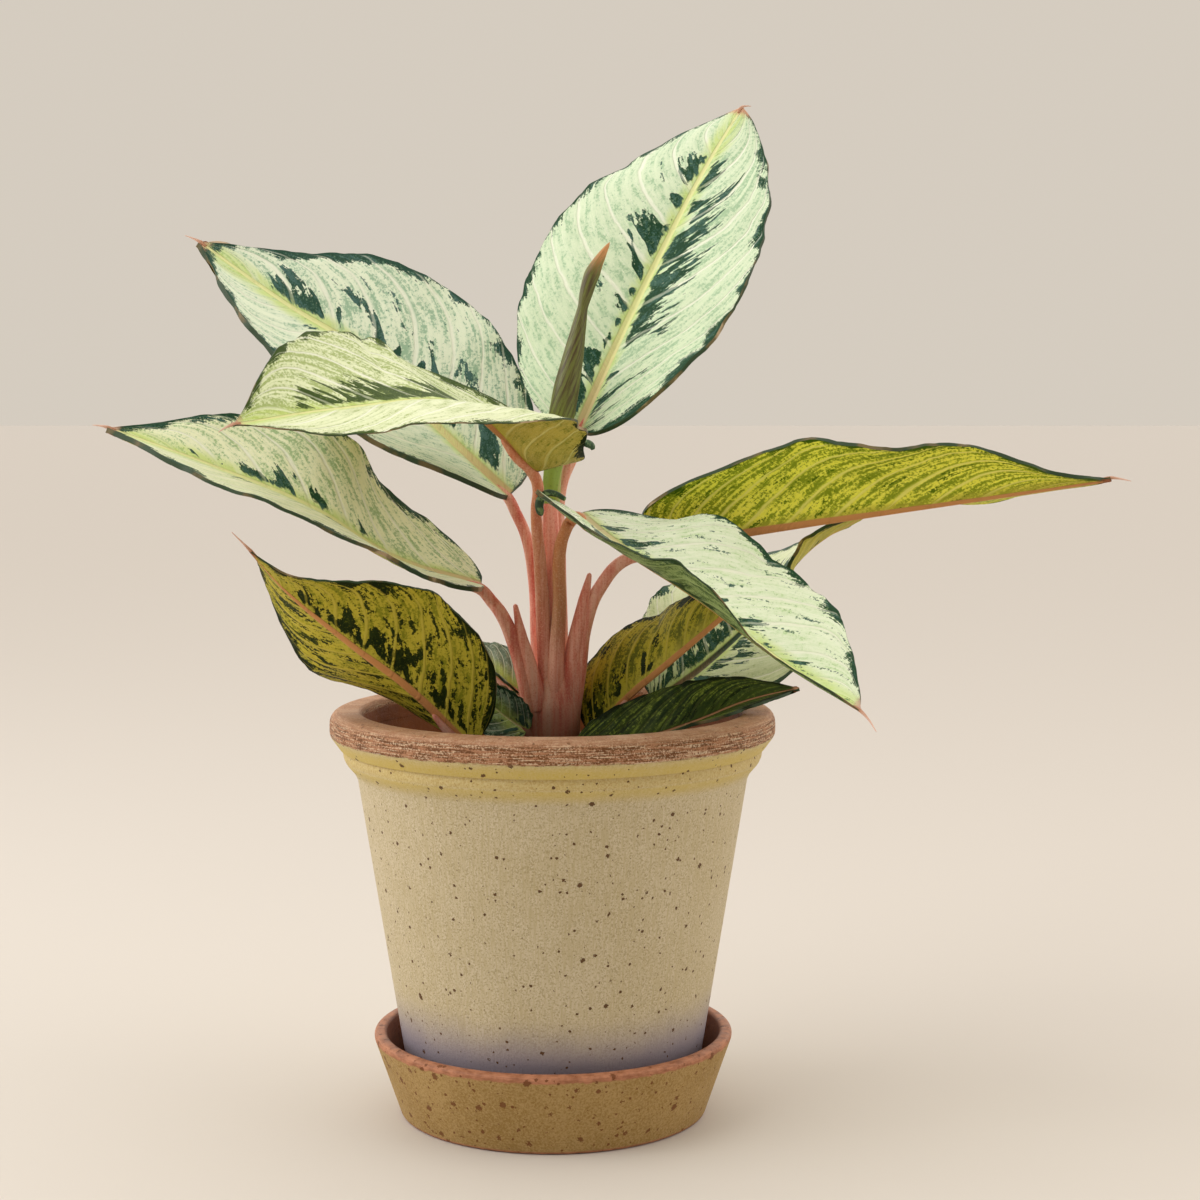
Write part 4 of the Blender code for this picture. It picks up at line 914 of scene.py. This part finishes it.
# The cane, the free sheath tips and the newest stalk
CANE = [(0, 0, 90.5, 6.4), (0, 0, 110, 7.0), (0, 0, 126.2, 7.1), (0.8, 0, 136, 9.0), (0.8, 0, 148, 8.8),
        (0.8, 0, 160, 6.0)]
SHEATHS = [
    [(-4.5, -3.5, 146, 4.2), (-8.4, -5.5, 164, 2.5), (-11.3, -6, 175, 1.8), (-13.3, -6, 185, 0.8)],
    [(5.5, -1, 150, 4.2), (8.2, -3.5, 170, 3.2), (11.3, -4.5, 186, 2.1), (13.4, -4.5, 196, 0.8)],
]
YOUNG_STALK = [(0, 1, 130, 5.4), (-0.5, 1, 165, 4.6), (-0.8, 1, 200, 3.5), (-0.7, 1, 223.5, 2.6)]
NEEDLE_RADIUS = 0.45
NEEDLE_FOOT, NEEDLE_TIP = (0.46, 0.22, 0.12), (0.74, 0.47, 0.36)

tube_tree, given, result = new_tree("fleshy_tube", "GeometryNodeTree", {
    "Object": "Route", "Int": "Rings, Sides", "Float": "Channel, Seam, Twist, Start Angle, Brown",
    "Material": "Finish"}, {"Geometry": "Tube"})
grid, along, turn = sheet_grid(given.rings, given.sides)
turn = turn + 0.5
grid = store(grid, "skin", vector(along, turn), "FLOAT2", "CORNER")
grid = store(grid, "brown", given.brown, "FLOAT")
route = geo("ObjectInfo", given.route, output="Geometry")
inputs = {"Curves": route, "Value": put("GeometryNodeInputRadius", {}), "Factor": along}
sample = place("GeometryNodeSampleCurve", inputs, mode="FACTOR", data_type="FLOAT")
radius, spot, heading, normal = wires(sample, "Value", "Position", "Tangent", "Normal")
sideways = heading.reckon("CROSS_PRODUCT", normal)
angle = turn * -math.tau + given.start_angle + given.twist * along
dent = ((turn - 0.5) / CHANNEL_HALF).bell() * given.channel
overlap = turn * turn.ramp(1, 0.94) * given.seam
closing = (((along - 0.5) * 2).reckon("ABSOLUTE") ** 60 * -1 + 1).at_least(0).reckon("SQRT")
reach = radius * (overlap - dent + 1) * closing
point = spot + normal * (reach * angle.reckon("COSINE")) + sideways * (reach * angle.reckon("SINE"))
tube = geo("SetPosition", grid, {"Position": point})
tube = geo("MergeByDistance", tube, {"Distance": TUBE_WELD})
tube = geo("SetShadeSmooth", tube, {"Shade Smooth": True})
tube = geo("RealizeInstances", tube)
tube = geo("SetMaterial", tube, {"Material": given.finish})
plug(result.inputs["Tube"], tube)

stalk_skin, where = new_finish("stalk_skin")
brown = put("ShaderNodeAttribute", {}, "Fac", attribute_name="brown")
x, y, z = where.parts()
streaks = noise(vector(x * 1300, y * 1300, z * 32), 1, 4, 0.62)
bands = noise(vector(x * 300, y * 300, z * 14), 1, 2, 0.5)
cloud = noise(where, 60, 3, 0.6)
speckle = noise(where, 1700, 3, 0.7)
worn = layers(STALK_BROWN, (z.ramp(0.17, 0.215), STALK_ORANGE))
brown = brown * z.ramp(0.15, 0.19)
colour = layers(
    BLUSH, ((streaks * 0.4 + bands * 0.6).ramp(0.28, 0.66), ROSE),
    ((streaks * 0.3 + bands * 0.7).ramp(0.48, 0.68) * 0.45, ROSE_DEEP),
    ((brown + (streaks - 0.5) * 0.5).ramp(0.2, 1) * 0.85, worn), (speckle.ramp(0.55, 0.62) * 0.35, ROSE_DEEP),
    (speckle.ramp(0.45, 0.38) * 0.35, BLUSH),
    ((z + (streaks - 0.5) * 0.01).ramp(0.166, 0.13) * 0.8, CROWN_DARK))
coat(colour, speckle.ramp(0.3, 0.7, 0.38, 0.52), 0.2, streaks, 0.0005, 0.45)


def stalk_route(name):
    """The stalk's route with its radii, from the crown into the underside of the blade's base."""
    leaf, (route, _) = LEAVES[name], STALKS[name]
    base, following = Vector(leaf["midrib"][0]), Vector(leaf["midrib"][1])
    along = (following - base).normalized()
    face = Vector(leaf["face"][0])
    up = (face - along * face.dot(along)).normalized()
    heading = (along * 1.4 + Vector((0, 0, 1))).normalized()
    end = base - up * STALK_SINK
    route = route + [(*(end - heading * STALK_BEND), STALK_END + 0.1), (*end, STALK_END)]
    for run, radius in MIDRIB_RUN:
        route.append((*(base + along * run - up * (radius + MIDRIB_SINK)), radius))
    return route


def tube(route, brown, finish, channel=CHANNEL, seam=0.0, twist=0.0, start=0.0):
    """A fleshy tube along a route of (x, y, z, radius)."""
    curve = route_curve([p[:3] for p in route], [p[3] for p in route])
    mesh = grow(tube_tree, {
        "Route": curve, "Rings": TUBE_RINGS + 1, "Sides": TUBE_SIDES + 1, "Channel": channel, "Seam": seam,
        "Twist": twist, "Start Angle": start, "Brown": brown, "Finish": finish})
    bpy.data.objects.remove(curve, do_unlink=True)
    return mesh


def joined(name, meshes):
    """Several meshes in one, with their maps and finishes kept."""
    bm = bmesh.new()
    for mesh in meshes:
        bm.from_mesh(mesh)
    result = bpy.data.meshes.new(name)
    bm.to_mesh(result)
    bm.free()
    for finish in meshes[0].materials:
        result.materials.append(finish)
    return result


tubes = [tube(stalk_route(name), brown, stalk_skin) for name, (_, brown) in STALKS.items()]
tubes += [tube(route, 0.0, stalk_skin, 0.0) for route in SHEATHS]
tubes += [tube(CANE, 0.5, stalk_skin, 0.0), tube(YOUNG_STALK, 0.0, stalk_skin, 0.0)]
settle("stalks_and_cane", joined("stalks", tubes), "stem", "stem")

# The dry needles that seven blades end in
needle_skin, where = new_finish("needle_skin")
along = put("ShaderNodeUVMap", {}, uv_map="skin").parts()[0]
needle_tone = along + (noise(where, 700) - 0.5) * 0.4
coat(layers(NEEDLE_FOOT, (needle_tone.ramp(0.1, 0.8), NEEDLE_TIP)), 0.6)
# How long each is, and which way it turns, in millimetres
NEEDLES = {
    "leaf_top_right": (2.5, (0.8, -0.3, -0.5)), "leaf_upper_left": (4.5, (-0.6, 0, -0.1)),
    "leaf_mid_left": (4.0, (-0.3, 0, -0.6)), "leaf_low_left": (4.0, (-0.5, 0, -0.2)),
    "leaf_left_rim": (7.0, (-0.8, 0, 0.7)), "leaf_right": (4.5, (0.9, 0, -0.6)),
    "leaf_front_right": (8.5, (-0.3, 0, -1.0)),
}
needles = []
for name, (length, turn) in NEEDLES.items():
    tip, before = Vector(LEAVES[name]["midrib"][-1]), Vector(LEAVES[name]["midrib"][-2])
    heading, turn = (tip - before).normalized(), Vector(turn)
    route = [tip - heading * 3, tip, tip + heading * length * 0.5 + turn, tip + heading * length + turn * 3]
    radii = [NEEDLE_RADIUS, NEEDLE_RADIUS * 1.3, NEEDLE_RADIUS * 0.7, NEEDLE_RADIUS * 0.25]
    needles.append(tube([(*p, r) for p, r in zip(route, radii)], 0.0, needle_skin, 0.0))
settle("leaf_needles", joined("needles", needles), "stem")

# Two blades' margins are rolled up tight where they end, by the stalk
CURL_GREEN, CURL_PALE = (0.028, 0.07, 0.03), (0.22, 0.34, 0.13)
CURLS = {
    "leaf_mid_left": [(10.2, -33, 242.4, 0.8), (12.6, -33.5, 242.6, 1.4), (14.2, -34, 241.6, 1.2),
                      (14.6, -34, 240.4, 0.6)],
    "leaf_front_right": [(5, -13, 222.4, 0.8), (1, -13, 224.5, 1.1), (-2, -13.5, 224.5, 1.3),
                         (-4.2, -14, 221.5, 1.6), (-3.9, -14, 218, 1.4), (-3.2, -14, 216.8, 0.5)],
}
curl_skin, where = new_finish("curl_skin")
patches = noise(where, 500, 3)
coat(layers(CURL_GREEN, (patches.ramp(0.48, 0.66), CURL_PALE)), 0.45)
for name, route in CURLS.items():
    settle(name + "_curl", tube(route, 0.0, curl_skin), name)


# The newest leaf: still rolled into a spear, olive and brown with an orange tip. Its margin shows as a seam
# that winds up it. It stands on the youngest stalk.
SPEAR = [(-0.7, 1, 218.8, 2.9), (0, 1, 232, 2.9), (2, 0.5, 243, 3.7), (3.6, 0, 252, 4.4), (5.2, 0, 261, 4.3),
         (7.6, 0, 272.5, 3.4), (9.9, 0, 284.5, 2.2), (11.0, 0, 290, 1.6), (12.2, 0, 295, 2.1),
         (14.4, 0, 302, 2.5), (17.4, 0, 308, 1.5), (20.5, 0, 313, 0.4)]
SPEAR_OLIVE, SPEAR_BROWN, SPEAR_BRIGHT = (0.15, 0.16, 0.03), (0.07, 0.045, 0.012), (0.3, 0.44, 0.05)
SPEAR_ORANGE, SPEAR_EDGE = (0.62, 0.28, 0.1), (0.42, 0.38, 0.12)
spear_skin, where = new_finish("spear_skin")
along, turn, _ = put("ShaderNodeUVMap", {}, uv_map="skin").parts()
stripes = noise(vector(along * 9, turn * 26, 0), 1, 4, 0.6)
grain = noise(where, 900, 3, 0.6)
colour = layers(
    SPEAR_OLIVE, (stripes.ramp(0.4, 0.62), SPEAR_BROWN), (along.ramp(0.45, 0.05) * 0.85, SPEAR_BRIGHT),
    ((along + (stripes - 0.5) * 0.2).ramp(0.86, 0.98), SPEAR_ORANGE),
    (turn.ramp(0.9, 0.935) * turn.ramp(0.97, 0.94) * 0.7, SPEAR_EDGE),
    (grain.ramp(0.55, 0.7) * 0.3, SPEAR_BROWN))
coat(colour, 0.4, 0.5, stripes, 0.0004, 0.5)
spear = tube(SPEAR, 0.0, spear_skin, channel=0.0, seam=0.2, twist=5.0, start=0.2)
settle("rolled_leaf", spear, "leaf_spear", "leaf_spear")

boxes = {"cad": cad_box, "visual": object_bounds()}
{label: [list(corner) for corner in box] for label, box in boxes.items()}
